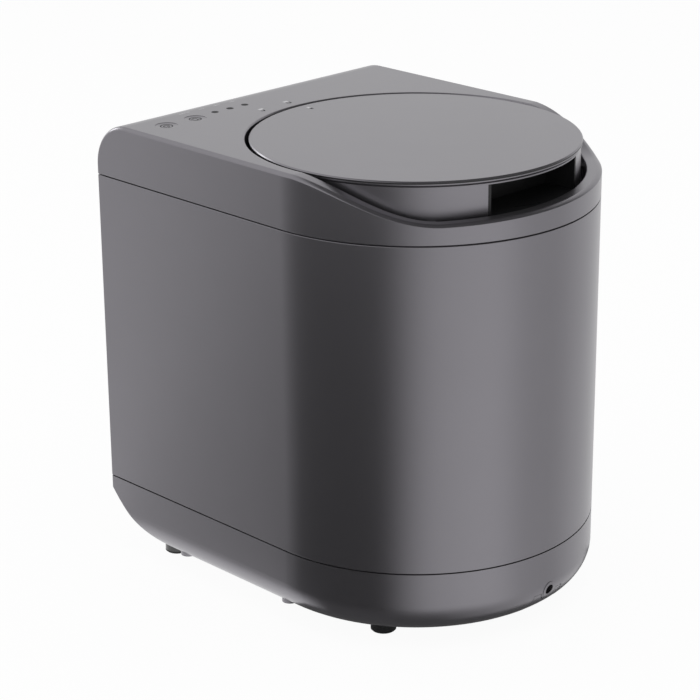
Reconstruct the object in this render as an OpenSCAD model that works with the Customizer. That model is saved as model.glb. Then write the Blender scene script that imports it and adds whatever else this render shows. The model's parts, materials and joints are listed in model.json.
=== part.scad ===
/* [Body] */
// Width across the two straight sides; the rear end is a half circle of this width
body_w = 270; // [250:1:290]
// Length of the straight sides, from the flat front to the half circle
straight_l = 202; // [190:1:215]
// Height from the floor to the top panel
body_h = 348; // [335:1:370]
// Wall of the outer casing
wall = 3; // [2.5:0.5:3.5]
// Chamfer along the casing's long edges
edge_c = 2.5; // [1:0.5:3]
// Radius of the top panel's curve down to the flat front
front_r = 34; // [20:1:36]
// Height of the top cover above the upper seam
cover_h = 41.5; // [40:0.5:44]
// Dark gap that shows at each seam
seam_gap = 0.8; // [0.4:0.1:1.2]

/* [Base] */
// Height of the base between its underside and the lower seam
base_h = 52; // [48:1:56]
// Rounding of the base's lower edge
base_fillet = 26; // [18:1:30]
// Height by which the underside rises to the flat front
front_rise = 45; // [35:1:46]
// Length over which the underside rises to the flat front
front_run = 92; // [80:1:105]
// Height of the feet under the base
foot_h = 9; // [8:1:14]
// Diameter of the feet
foot_d = 19; // [16:1:24]
// Height of each foot's rubber pad
pad_h = 2; // [1.5:0.5:3]
// Distance of the rear feet from the half circle's centre
rear_foot_r = 102; // [92:1:108]
// Angle of the rear feet from the centre plane
rear_foot_a = 59; // [45:1:62]
// Distance of the front feet from the centre plane
front_foot_x = 105; // [90:1:106]
// Distance of the front feet from the flat front
front_foot_y = 43; // [34:1:48]
// Diameter of the cord hole
cord_d = 7.7; // [6:0.1:9]
// Height of the cord hole above the floor
cord_z = 28.4; // [27:0.2:32]
// Offset of the cord hole from the centre plane
cord_x = -3; // [-8:0.5:8]
// Width of the cord clamp cover at its foot
clamp_w = 34; // [30:1:40]

/* [Lid] */
// Width of the rim around the lid's opening
rim_w = 11.5; // [10.5:0.5:13]
// Gap between the lid plate and the rim
lid_gap = 2.7; // [2.2:0.1:3]
// Depth of the scoop in the rim at the rear
scoop_depth = 27; // [20:0.5:30]
// Rise of the scoop's bottom from the keys' side to the other side
scoop_rise = 5; // [0:0.5:6]
// Angle from the rear over which the scoop's bottom runs on the keys' side
scoop_flat = 38; // [30:1:48]
// Angle from the rear at which the scoop meets the top panel on the keys' side
scoop_end = 89; // [70:1:89]
// Angle from the rear over which the scoop's bottom runs on the other side
scoop_flat2 = 50; // [34:1:54]
// Angle from the rear at which the scoop meets the top panel on the other side
scoop_end2 = 94; // [80:1:95]
// Thickness of the lid plate
plate_t = 2; // [1.5:0.5:2.5]
// Half width of the finger pocket
pocket_hw = 48; // [36:1:50]
// Offset of the finger pocket from the centre plane
pocket_x = -4; // [-6:0.5:6]
// Depth of the finger pocket into the lid
pocket_depth = 40; // [30:1:45]
// Turn of the lid between its lock marks
lock_turn = 12; // [8:1:16]
// Drop from the top panel to the deck inside the opening
deck_drop = 40; // [39.5:0.5:44]

/* [Bucket] */
// Width of the deck inside the opening
deck_w = 17.5; // [16:0.5:20]
// Width of the ledge that the bucket's flange rests on
ledge_w = 14; // [12:0.5:16]
// Depth of the bucket below its flange
bucket_depth = 153; // [140:1:160]
// Wall of the bucket
bucket_t = 2; // [1.5:0.5:3]
// Height of the neck between the deck and the bucket's flange
neck_h = 17; // [17:0.5:20]
// Height of the bucket's grips above its flange
grip_h = 6; // [4:0.5:6]
// Diameter of the rotor's shaft
shaft_d = 12; // [10:0.5:14]
// Width of a rotor arm
arm_w = 14; // [10:1:18]
// Height of the drive coupling's tongue
tongue_h = 6; // [5:0.5:7]

/* [Drive] */
// Teeth of each pinion
pinion_n = 18; // [18:1:20]
// Teeth of each wheel
wheel_n = 54; // [50:1:56]
// Module of the first pair of gears
module_1 = 1.25; // [1.2:0.05:1.3]
// Module of the second pair of gears
module_2 = 1.75; // [1.65:0.05:1.8]
// Play between meshing teeth
backlash = 0.36; // [0.3:0.02:0.5]
// Radius of the motor
motor_r = 26; // [20:1:28]
// Height of the motor
motor_h = 42; // [34:1:44]

/* [Air] */
// Width of the filter drawer's front
drawer_w = 116; // [100:1:120]
// Height of the filter drawer's front
drawer_h = 80; // [70:1:84]
// Height of the drawer's opening above the floor
drawer_z = 112; // [110:1:120]
// Gap around the drawer's front
drawer_gap = 0.6; // [0.4:0.1:1]
// Width of the finger slot in the drawer's front
slot_w = 60; // [40:1:70]
// Outer size of the fan's frame
fan_w = 80; // [70:1:84]
// Height of the fan's frame
fan_h = 20; // [18:1:24]
// Blades of the fan
fan_n = 7; // [5:1:9]

/* [Controls] */
// Distance of the keys from the flat front
key_y = 51.6; // [46:0.5:54]
// Distance of the power key from the centre plane
key_x1 = 108; // [104:0.5:110]
// Distance of the mode key from the centre plane
key_x2 = 80; // [76:0.5:84]
// Radius of a key
key_r = 8.3; // [6:0.1:9]
// Travel of a key
key_travel = 0.6; // [0.3:0.1:0.7]
// Distance of the indicators from the flat front
led_y = 48.5; // [44:0.5:52]
// Distance of the first indicator from the centre plane
led_x = 27.5; // [24:0.5:32]
// Spacing of the indicators
led_pitch = 15.1; // [12:0.1:16]
// Radius of an indicator
led_r = 2.1; // [1.5:0.1:2.5]

/* [Hidden] */

$fn = 96;
// plan: half circle about the lid's axis, flat front
R = body_w / 2;
depth = straight_l + R;
yf = -depth / 2;
yc = yf + straight_l;
// running clearance of a shaft, gap between parts that only pass, and overlap of cuts
run_c = 0.1;
pass_c = 0.4;
cut = 1;
// levels of the casing
z0 = foot_h;
z_lo = foot_h + base_h;
z_up = body_h - cover_h;
floor_z = z0 + wall;
bush_l = 18;
stem_d = 8;
stem_out = 3;
pad_peg = 3;
pad_c = 0.8;
tongue_in = 0.3;
tongue_t = 2;
tongue_l = 4;
// deck, neck, ledge
opening_r = R - rim_w;
lid_r = opening_r - lid_gap;
deck_t = 3;
deck_z = body_h - deck_drop;
neck_r = opening_r - deck_w;
bucket_r = neck_r - ledge_w;
well_t = 2;
well_gap = 3;
neck_top = deck_z - deck_t;
ledge_z = neck_top - neck_h;
flange_t = 2;
bucket_z = ledge_z + flange_t - bucket_depth;
bush_drop = 8.5;
dog_gap = 0.5;
dog_h = tongue_h + 2;
well_floor = 2;
dog_z = bucket_z - bush_drop - dog_gap - dog_h;
well_z = dog_z - 1.5 - well_floor;
jacket_in = bucket_r + well_gap + well_t + 3.5;
jacket_t = 5;
jacket_down = 26;
jacket_out = jacket_in + jacket_t;
// rim
rim_in_c = 1.5;
scoop_lift = 0.4;
scoop_steps = 56;
// screws
screw_d = 3;
screw_l = 12;
head_d = 6;
head_h = 2.2;
boss_d = 9;
hole_c = 0.2;
lug_l = 14;
lug_t = 6;
lug_drop = 12;
board_screw_l = 9;
lens_c = 0.05;
shell_spots = [[R - 16, yf + 73], [R - 16, yc - 14]];
cover_spots = [[R - 15, yf + 22], [R - 15, yf + 106]];
// gears
press = 20;
inv_p = tan(press) * 180 / PI - press;
c1 = module_1 * (pinion_n + wheel_n) / 2;
c2 = module_2 * (pinion_n + wheel_n) / 2;
y_mid = yc - c2;
y_mot = y_mid - c1;
gear_t = 8;
box_z = floor_z + 7;
box_t = 3;
box_screw_in = 5;
g1_z = box_z + box_t + 7;
g2_z = g1_z + gear_t + 2;
lid_z = g2_z + gear_t + 4;
cavity_c = 3.4;
box_r1 = module_1 * (wheel_n + 2) / 2 + cavity_c;
box_r2 = module_2 * (wheel_n + 2) / 2 + cavity_c;
box_r0 = motor_r - 4;
pin_d = 8;
bearing_d = 24;
bearing_h = 7;
hub_d = 22;
// drawer and air path
case_t = 2;
case_back = yc - jacket_out - 1.5;
case_front = yf + wall;
drawer_clear = 1;
tray_t = 2;
tray_w = drawer_w - 2 * drawer_gap - 4;
tray_h = drawer_h - 10;
case_in_w = tray_w + 2 * drawer_clear;
case_top = drawer_z + drawer_h - 1.5;
case_bot = drawer_z + 1.5;
fan_y = (case_front + case_back) / 2;
fan_r = fan_w / 2 - 4;
fan_z = case_top + case_t;
fan_strut = 3;
duct_w = 48;
duct_l = 40;
duct_t = 2;
duct_top = ledge_z + neck_h - 3;
port_w = 40;
port_h = 9;
// lid
gasket_h = 3.5;
inner_t = 2;
swivel_c = 0.8;
lid_base_t = 2;
inner_z = deck_z + gasket_h;
lid_bot = inner_z + inner_t + swivel_c;
plate_z = body_h - plate_t;
drum_t = 2.5;
drum_r = lid_r - 1.3;
drum_top_t = 2;
pocket_floor = body_h - 30;
pocket_top = body_h - 5.4;
pocket_y = yc + drum_r - pocket_depth;
liner_t = 2;
pivot_d = 10;
lug_h = 4;
lug_deg = 10;
lug_out = opening_r - 0.9;
lug_at = [30, 150, 270];
stop_deg = 3;
stop_c = 0.4;
lid_screw_l = 13;
plate_c = 0.4;
dash_w = 1.6;
dash_l = 6;
dash_in = 8;
// controls
panel_t = wall;
board_t = 1.6;
board_z = body_h - 12;
switch_h = 3.5;
key_gap = 0.4;

module ring(r1, r2, h) {
  difference() {
    cylinder(r = r2, h = h);
    translate([0, 0, -cut]) cylinder(r = r1, h = h + 2 * cut);
  }
}

module at_lid() {
  translate([0, yc, 0]) children();
}

module both() {
  children();
  mirror([1, 0, 0]) children();
}

// outline seen from above, set in by i
module plan(i) {
  r = R - i;
  translate([0, yc]) circle(r = r);
  polygon([[-r, yc], [-r, yf + i + edge_c], [-r + edge_c, yf + i],
    [r - edge_c, yf + i], [r, yf + i + edge_c], [r, yc]]);
}

module along_y(y0, y1) {
  translate([0, y1, 0]) rotate([90, 0, 0]) linear_extrude(y1 - y0) children();
}

module along_x(x0, x1) {
  translate([x0, 0, 0]) rotate([90, 0, 90]) linear_extrude(x1 - x0) children();
}

// ---- casing ----

// top cover's form in front of the lid's axis, set in by i, from level zb and back to y1
module cover_form(i, zb, y1) {
  r = R - i;
  zt = body_h - i;
  e = edge_c;
  f = front_r;
  along_y(yf + f, y1)
    polygon([[-r, zb], [r, zb], [r, zt - e], [r - e, zt], [-r + e, zt], [-r, zt - e]]);
  translate([0, yf + f, body_h - f]) rotate([0, 90, 0]) rotate([0, 0, 180]) rotate_extrude(angle = 90)
    polygon([[0, -r], [f - i - e, -r], [f - i, -r + e], [f - i, r - e], [f - i - e, r], [0, r]]);
  translate([0, 0, zb]) linear_extrude(body_h - f - zb)
    polygon([[-r, yf + f], [-r, yf + i + e], [-r + e, yf + i],
      [r - e, yf + i], [r, yf + i + e], [r, yf + f]]);
}

// share of the scoop's depth, and its depth, at an angle from the rear; the keys' side is positive
function scoop_s(a) = let (f = a > 0 ? scoop_flat : scoop_flat2, e = a > 0 ? scoop_end : scoop_end2)
  abs(a) <= f ? 1 : (1 + cos(180 * (abs(a) - f) / (e - f))) / 2;
function scoop_d(a) = scoop_depth - scoop_rise * max(0, scoop_flat - a) / (scoop_flat + scoop_flat2);
function scoop_z(a) = body_h + scoop_lift - (scoop_d(a) + scoop_lift) * scoop_s(a);
function rim_pt(a, r, z) = [r * sin(a), yc + r * cos(a), z];
function rim_section(a) = let (z = scoop_z(a)) [
  rim_pt(a, opening_r - cut, z - rim_in_c - cut),
  rim_pt(a, opening_r + rim_in_c, z),
  rim_pt(a, R - edge_c, z),
  rim_pt(a, R + 2, z - edge_c - 2),
  rim_pt(a, R + 2, body_h + 30),
  rim_pt(a, opening_r - cut, body_h + 30)
];

// what the wave in the rim takes away
module scoop() {
  n = scoop_steps;
  pts = [for (k = [0:n]) each rim_section(-scoop_end2 + (scoop_end + scoop_end2) * k / n)];
  side = [for (k = [0:n - 1], j = [0:5]) let (a = k * 6 + j, b = k * 6 + (j + 1) % 6)
    each [[a, b + 6, b], [a, a + 6, b + 6]]];
  polyhedron(pts, concat([[5, 0, 1, 2, 3, 4]], side, [[for (j = [5:-1:0]) n * 6 + j]]));
}

module base_profile(i) {
  r = R - i;
  f = base_fillet - i;
  zt = z_lo - seam_gap / 2;
  translate([0, z0 + i + f]) square([r, zt - z0 - i - f]);
  translate([0, z0 + i]) square([r - f, f + cut]);
  translate([r - f, z0 + i + f]) circle(r = f);
}

// base's form, set in by i
module base_form(i) {
  r = R - i;
  rise_r = (front_run * front_run + front_rise * front_rise) / (2 * front_rise);
  zt = z_lo - seam_gap / 2;
  difference() {
    intersection() {
      union() {
        at_lid() rotate_extrude() base_profile(i);
        along_y(yf - cut, yc) {
          base_profile(i);
          mirror([1, 0]) base_profile(i);
        }
      }
      along_x(-R - 5, R + 5) {
        intersection() {
          translate([yf + front_run, z0 + rise_r]) circle(r = rise_r - i, $fn = 180);
          translate([yf + i, z0]) square([front_run - i, zt - z0]);
        }
        translate([yf + front_run, z0 + i]) square([depth, zt - z0 - i]);
      }
    }
    both() translate([0, 0, z0 - cut]) linear_extrude(base_h + 2 * cut) polygon([
      [r - edge_c, yf + i], [r + 5, yf + i + 5 + edge_c],
      [r + 5, yf + i - 5], [r - edge_c - 5, yf + i - 5]
    ]);
  }
}

module at_feet() {
  both() {
    at_lid() rotate([0, 0, 90 - rear_foot_a]) translate([rear_foot_r, 0, 0]) children();
    translate([front_foot_x, yf + front_foot_y, 0]) children();
  }
}

module clamp_outline(c) {
  w = clamp_w / 2 + c;
  t = clamp_w * 0.45 + c;
  translate([cord_x, 0]) polygon([
    [-w - 4, z0 - 4], [w + 4, z0 - 4], [w, z0 + 1],
    [t, cord_z - 1 + c], [-t, cord_z - 1 + c], [-w, z0 + 1]
  ]);
}

module base() {
  color("dimgray") {
    difference() {
      union() {
        difference() {
          base_form(0);
          difference() {
            base_form(wall);
            // screw posts up to the shell's lugs
            both() for (s = shell_spots) translate([s[0], s[1], z0])
              cylinder(d = boss_d + 3, h = z_lo + 4 - z0);
            // posts of the gearbox and the power board
            box_posts(z0, boss_d);
            board_posts(boss_d);
            // boss around the cord hole
            along_y(yc + R - bush_l, yc + R) translate([cord_x, cord_z]) circle(d = cord_d + 12);
          }
          translate([0, 0, z_lo - seam_gap / 2 - cut]) linear_extrude(2 * cut) plan(wall);
        }
        // tongue that centres the shell
        translate([0, 0, z_lo - 5]) linear_extrude(5 + tongue_l) difference() {
          plan(wall + tongue_in);
          plan(wall + tongue_in + tongue_t);
        }
        translate([0, 0, z_lo - 5]) linear_extrude(4) difference() {
          plan(wall - 0.5);
          plan(wall + tongue_in + tongue_t);
        }
        both() for (s = shell_spots) translate([s[0], s[1], floor_z - 1])
          cylinder(d = boss_d + 3, h = z_lo + 4 - floor_z + 1);
      }
      // screw holes
      both() for (s = shell_spots) translate([s[0], s[1], 0]) {
        translate([0, 0, -cut]) cylinder(d = head_d + 2, h = z_lo - 2 + cut);
        cylinder(d = screw_d + 2 * hole_c, h = z_lo + 10);
      }
      for (s = box_spots()) translate([s[0], s[1], box_z - box_screw_in])
        cylinder(d = screw_d, h = box_screw_in + cut);
      // holes for the stems of the feet
      at_feet() cylinder(d = stem_d + 2 * hole_c, h = front_foot_top() + wall + cut);
      // bore for the cord's bush
      along_y(yc + R - bush_l - cut, yc + R + cut) translate([cord_x, cord_z]) circle(d = cord_d + 5);
      // place of the clamp cover
      difference() {
        along_y(yc + R - 20, yc + R + 5) clamp_outline(0);
        along_y(yc + R - 21, yc + R + 6) translate([cord_x, cord_z]) circle(d = cord_d + 8);
      }
      // air inlets under the front half
      both() for (k = [0:4]) translate([48 + 12 * k, -60, z0 - cut]) cube([4, 60, wall + 2 * cut]);
    }
  }
}

function front_foot_top() = let (
    rise_r = (front_run * front_run + front_rise * front_rise) / (2 * front_rise),
    u = front_run - front_foot_y - foot_d / 2)
  z0 + rise_r - sqrt(rise_r * rise_r - u * u) + 6;

// flush with the base's curved wall, with a lip 0.3 proud of it
module cord_bush() {
  color("gray") difference() {
    intersection() {
      along_y(yc + R - bush_l, yc + R + cut) translate([cord_x, cord_z]) circle(d = cord_d + 5);
      base_form(-0.3);
    }
    along_y(yc + R - 30, yc + R + 2 * cut) translate([cord_x, cord_z]) circle(d = cord_d);
  }
}

module cord_clamp_cover() {
  color("slategray") difference() {
    intersection() {
      difference() {
        base_form(0.1);
        base_form(wall);
      }
      along_y(yc + R - 19.6, yc + R + 5) clamp_outline(-0.4);
    }
    along_y(yc + R - 30, yc + R + 6) translate([cord_x, cord_z]) circle(d = cord_d + 8.8);
  }
}

// feet fitted to the underside, each with a stem through the base's floor
module feet() {
  color("black") difference() {
    union() {
      difference() {
        at_feet() translate([0, 0, pad_h]) cylinder(d = foot_d, h = front_foot_top() - pad_h);
        base_form(0);
      }
      both() {
        at_lid() rotate([0, 0, 90 - rear_foot_a]) translate([rear_foot_r, 0, pad_h + pad_peg + 1])
          cylinder(d = stem_d, h = floor_z + stem_out - pad_h - pad_peg - 1);
        translate([front_foot_x, yf + front_foot_y, pad_h + pad_peg + 1])
          cylinder(d = stem_d, h = front_foot_top() + wall - pad_h - pad_peg - 1);
      }
    }
    at_feet() translate([0, 0, pad_h - cut]) cylinder(d = foot_d * 0.5 + 2 * hole_c, h = pad_peg + cut);
  }
}

module foot_pads() {
  color("black") at_feet() {
    translate([0, 0, pad_c]) cylinder(d = foot_d, h = pad_h - pad_c);
    cylinder(d1 = foot_d - 2 * pad_c, d2 = foot_d, h = pad_c);
    cylinder(d = foot_d * 0.5, h = pad_h + pad_peg - 0.2);
  }
}

module screw(l) {
  cylinder(d = head_d, h = head_h);
  cylinder(d = screw_d, h = head_h + l);
}

module base_screws() {
  color("silver") both() for (s = shell_spots) translate([s[0], s[1], z_lo - 2 - head_h]) screw(screw_l);
}

module shell_lug(s, z) {
  translate([s[0] - lug_l / 2, s[1] - lug_l / 2, z])
    cube([R - wall / 2 - s[0] + lug_l / 2, lug_l, lug_t]);
}

module main_shell() {
  zb = z_lo + seam_gap / 2;
  zt = z_up - seam_gap / 2;
  color("gray") difference() {
    union() {
      translate([0, 0, zb]) linear_extrude(zt - zb) difference() {
        plan(0);
        plan(wall);
      }
      // lugs over the base's posts and under the cover's posts
      both() for (s = shell_spots) shell_lug(s, z_lo + 4.2);
      both() for (s = cover_spots) shell_lug(s, z_up - lug_drop);
    }
    both() for (s = shell_spots) translate([s[0], s[1], z_lo]) cylinder(d = screw_d, h = 14);
    both() for (s = cover_spots) translate([s[0], s[1], z_up - lug_drop - cut])
      cylinder(d = screw_d + 2 * hole_c, h = lug_t + 2 * cut + 6);
    // drawer's opening in the flat front
    translate([-drawer_w / 2, yf - cut, drawer_z]) cube([drawer_w, wall + 2 * cut, drawer_h]);
  }
}

// casing of the cover without its fittings
module cover_skin() {
  zb = z_up + seam_gap / 2;
  mid = opening_r + wall / 2;
  inner_top = body_h - scoop_depth - wall;
  // rim around the rear half of the opening, hollow under its scoop
  at_lid() rotate_extrude(angle = 180) polygon([
    [mid, inner_top], [mid, body_h], [R - edge_c, body_h], [R, body_h - edge_c],
    [R, zb], [R - wall, zb], [R - wall, inner_top]
  ]);
  difference() {
    cover_form(0, zb, yc);
    cover_form(wall, zb - cut, yc + cut);
    at_lid() cylinder(r = mid, h = body_h + cut);
  }
  // collar and deck
  at_lid() rotate_extrude() polygon([
    [neck_r, deck_z - deck_t], [opening_r + wall, deck_z - deck_t], [opening_r + wall, body_h],
    [opening_r, body_h], [opening_r, deck_z], [neck_r, deck_z]
  ]);
}

module top_cover() {
  zb = z_up + seam_gap / 2;
  tongue_z = z_up - tongue_l;
  color("dimgray") difference() {
    union() {
      difference() {
        cover_skin();
        scoop();
      }
      // tongue into the shell
      translate([0, 0, tongue_z]) linear_extrude(tongue_l + 4) difference() {
        plan(wall + tongue_in);
        plan(wall + tongue_in + tongue_t);
      }
      translate([0, 0, zb]) linear_extrude(3.6) difference() {
        plan(wall - 0.5);
        plan(wall + tongue_in + tongue_t);
      }
      // posts down to the shell's lugs
      both() for (s = cover_spots) translate([s[0], s[1], z_up - 5.8])
        cylinder(d = boss_d, h = body_h - wall / 2 - cover_drop(s) - z_up + 5.8);
      // posts of the control board
      for (s = board_spots()) translate([s[0], s[1], board_z + board_t])
        cylinder(d = 6, h = body_h - wall / 2 - board_z - board_t);
      // stops that end the lid's turn
      for (a = lug_at) at_lid() for (s = [0, 1]) {
        a0 = s == 0 ? a - lug_deg / 2 - stop_c - stop_deg : a + lug_deg / 2 + lock_turn + stop_c;
        translate([0, 0, deck_z - 0.5]) rotate([0, 0, a0]) rotate_extrude(angle = stop_deg)
          translate([drum_r + 0.6, 0]) square([opening_r + 1 - drum_r - 0.6, lid_bot - deck_z + 2.1 + lug_h]);
      }
    }
    both() for (s = cover_spots) translate([s[0], s[1], z_up - 7]) cylinder(d = screw_d, h = 14);
    for (s = board_spots()) translate([s[0], s[1], board_z]) cylinder(d = screw_d - 0.5, h = 8);
    // key holes, indicator holes
    for (x = [key_x1, key_x2]) translate([x, yf + key_y, body_h - 10]) cylinder(r = key_r + key_gap, h = 20);
    for (k = [0:2]) translate([led_x + k * led_pitch, yf + led_y, body_h - 10])
      cylinder(r = led_r + lens_c, h = 20);
    // lock marks beside the opening
    for (a = [0, lock_turn]) at_lid() rotate([0, 0, a - 90]) translate([R + 0.9, 0, body_h - 0.4])
      ring(1.1, 2, 2);
    // screw holes in the deck
    for (a = well_screw_at()) at_lid() rotate([0, 0, a]) translate([well_screw_r(), 0, deck_z - deck_t - cut])
      cylinder(d = screw_d - 0.4, h = deck_t + cut - well_screw_top);
  }
}

// how far the curved front edge lies below the panel at a post
function cover_drop(s) = let (u = yf + front_r - s[1] + boss_d / 2)
  u <= 0 ? 0 : front_r - sqrt((front_r - wall / 2) * (front_r - wall / 2) - u * u);

module cover_screws() {
  color("silver") both() for (s = cover_spots) translate([s[0], s[1], z_up - lug_drop - head_h]) screw(screw_l);
}

// ---- bucket, well and heating ----

well_screw_top = 0.8;
function well_screw_r() = neck_r + 7;
function well_screw_at() = [30, 90, 150, 210, 330];

module heating_well() {
  r1 = bucket_r + well_gap;
  top = neck_top;
  color("silver") difference() {
    at_lid() rotate_extrude() polygon([
      [shaft_d / 2 + 3, well_z], [r1 + well_t, well_z], [r1 + well_t, ledge_z - well_t],
      [neck_r + well_t, ledge_z - well_t], [neck_r + well_t, top - well_t], [neck_r + 13, top - well_t],
      [neck_r + 13, top], [neck_r, top], [neck_r, ledge_z], [r1, ledge_z], [r1, well_z + well_floor],
      [shaft_d / 2 + 3, well_z + well_floor]
    ]);
    // port of the exhaust duct through the neck
    translate([-port_w / 2, yc - neck_r - 12, duct_top - duct_t - port_h]) cube([port_w, 24, port_h]);
    for (a = well_screw_at()) at_lid() rotate([0, 0, a]) translate([well_screw_r(), 0, top - well_t - cut])
      cylinder(d = screw_d + 2 * hole_c, h = well_t + 2 * cut);
  }
}

module well_screws() {
  color("silver") for (a = well_screw_at()) at_lid() rotate([0, 0, a])
    translate([well_screw_r(), 0, neck_top - well_t - head_h]) {
      cylinder(d = head_d, h = head_h);
      cylinder(d = screw_d - 0.4, h = head_h + well_t + deck_t - well_screw_top);
    }
}

heater_up = 14;
heater_h = 60;
heater_t = 3;
heater_split = 6;

module heater_band() {
  r = bucket_r + well_gap + well_t;
  color("goldenrod") at_lid() translate([0, 0, well_z + heater_up]) {
    difference() {
      ring(r, r + heater_t, heater_h);
      rotate([0, 0, -90]) translate([r - cut, -heater_split / 2, -cut])
        cube([heater_t + 2 * cut, heater_split, heater_h + 2 * cut]);
    }
  }
}

module well_thermostat() {
  color("ivory") at_lid() translate([30, 0, well_z - 6]) {
    cylinder(d = 16, h = 6);
    translate([-11, -4, 5]) cube([22, 8, 1]);
  }
}

module insulation_jacket() {
  color("wheat") at_lid() translate([0, 0, well_z + heater_up])
    ring(jacket_in, jacket_out, ledge_z - well_z - heater_up - jacket_down);
}

module shaft_seal() {
  color("black") at_lid() translate([0, 0, well_z - 1]) {
    ring(shaft_d / 2 + run_c, shaft_d / 2 + 3, well_floor + 1.2);
    ring(shaft_d / 2 + run_c, shaft_d / 2 + 5, 1);
  }
}

module bucket() {
  r = bucket_r;
  ri = r - bucket_t;
  f = 10;
  ft = ledge_z + flange_t;
  bore = shaft_d / 2 + 3;
  color("darkslategray") at_lid() {
    rotate_extrude() difference() {
      union() {
        translate([0, bucket_z + f]) square([r, ft - bucket_z - f]);
        translate([0, bucket_z]) square([r - f, f + cut]);
        translate([r - f, bucket_z + f]) circle(r = f);
        translate([0, ledge_z]) square([neck_r - 1, flange_t]);
        translate([0, bucket_z - bush_drop]) square([bore + 4, bush_drop + cut]);
      }
      translate([0, bucket_z + f]) square([ri, bucket_depth + cut]);
      translate([0, bucket_z + bucket_t]) square([r - f, f]);
      translate([r - f, bucket_z + f]) circle(r = f - bucket_t);
      translate([0, bucket_z - bush_drop - cut]) square([bore, bush_drop + bucket_t + 2 * cut]);
    }
    // grips that stand up from the flange
    for (a = [0, 180]) rotate([0, 0, a - 18]) translate([0, 0, ft - 0.5]) rotate_extrude(angle = 36)
      translate([neck_r - 6, 0]) square([3, grip_h + 0.5]);
  }
}

module shaft_bush() {
  bore = shaft_d / 2 + 3;
  color("peru") at_lid() translate([0, 0, bucket_z - bush_drop]) {
    ring(shaft_d / 2 + run_c, bore, bush_drop + bucket_t + 1);
    translate([0, 0, bush_drop + bucket_t]) ring(shaft_d / 2 + run_c, bore + 2, 1.6);
  }
}

function arm_z() = bucket_z + bucket_t + 5;
arm_t = 8;
blade_t = 8;
blade_gap = 8;
function blade_z() = arm_z() + arm_t + blade_gap;
function arm2_z() = blade_z() + blade_t + blade_gap;

module fixed_blades() {
  color("silver") at_lid() for (a = [20, 200]) rotate([0, 0, a]) translate([0, 0, blade_z()]) intersection() {
    translate([30, -4, 0]) cube([bucket_r - bucket_t - 30, 8, blade_t]);
    cylinder(r = bucket_r - bucket_t, h = blade_t);
  }
}

module rotor_arm(l, z) {
  translate([0, 0, z]) difference() {
    translate([0, -arm_w / 2, 0]) cube([l, arm_w, arm_t]);
    // leading edge ground to a bevel
    translate([shaft_d, arm_w / 2, 1.5]) rotate([35, 0, 0]) translate([0, -1, 0]) cube([l, arm_w, arm_t * 2]);
  }
}

module mixing_rotor() {
  reach = bucket_r - bucket_t - 4;
  top = arm2_z() + arm_t + 6;
  color("gainsboro") at_lid() {
    translate([0, 0, dog_z + tongue_h + 0.5]) cylinder(d = shaft_d, h = arm_z() - dog_z);
    translate([0, 0, bucket_z + bucket_t + 3])
      cylinder(r = shaft_d / 2 + 8, h = top - bucket_z - bucket_t - 6);
    translate([0, 0, top - 4]) cylinder(r1 = shaft_d / 2 + 8, r2 = shaft_d / 2, h = 8);
    for (a = [0, 120, 240]) rotate([0, 0, a + 50]) rotor_arm(reach - 6, arm_z());
    for (a = [0, 180]) rotate([0, 0, a + 95]) rotor_arm(reach - 14, arm2_z());
  }
}

tongue_w = 5;

module rotor_dog() {
  color("peru") at_lid() difference() {
    translate([0, 0, dog_z]) cylinder(d = shaft_d + 14, h = dog_h);
    translate([-(shaft_d + 4) / 2, -(tongue_w + 2 * pass_c) / 2, dog_z - cut])
      cube([shaft_d + 4, tongue_w + 2 * pass_c, tongue_h + 0.2 + cut]);
    translate([0, 0, dog_z + tongue_h + 0.5]) cylinder(d = shaft_d, h = dog_h);
  }
}

// ---- drive ----

function inv_at(r, rb) = let (a = acos(min(1, rb / r))) tan(a) * 180 / PI - a;

// outline of a spur gear with a tooth on the +X axis when phase is 0
module gear_outline(m, n, phase) {
  rp = m * n / 2;
  rb = rp * cos(press);
  ra = rp + 0.95 * m;
  rf = rp - 1.25 * m;
  half = 90 / n - backlash / 4 / rp * 180 / PI;
  lo = max(rb, rf);
  steps = 5;
  side = concat([[rf, half + inv_p - inv_at(lo, rb)]],
    [for (k = [0:steps]) let (r = lo + (ra - lo) * k / steps) [r, half + inv_p - inv_at(r, rb)]]);
  m2 = len(side);
  polygon([for (t = [0:n - 1], k = [0:2 * m2 - 1])
    let (p = k < m2 ? side[k] : side[2 * m2 - 1 - k], s = k < m2 ? -1 : 1, a = phase + 360 * t / n + s * p[1])
    [p[0] * cos(a), p[0] * sin(a)]]);
}

module box_plan(c) {
  translate([0, yc]) circle(r = box_r2 + c);
  translate([0, y_mid]) circle(r = box_r1 + c);
  translate([0, y_mot]) circle(r = box_r0 + c);
  translate([-box_r0 * 0.8 - c, y_mot]) square([box_r0 * 1.6 + 2 * c, yc - y_mot]);
}

function box_spots() = [
  [box_r2 + 2, yc + 22], [-box_r2 - 2, yc + 22],
  [box_r1 + 3, y_mid - 12], [-box_r1 - 3, y_mid - 12]
];

module box_posts(z, d) {
  for (s = box_spots()) translate([s[0], s[1], z]) cylinder(d = d, h = box_z - z);
}

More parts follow.
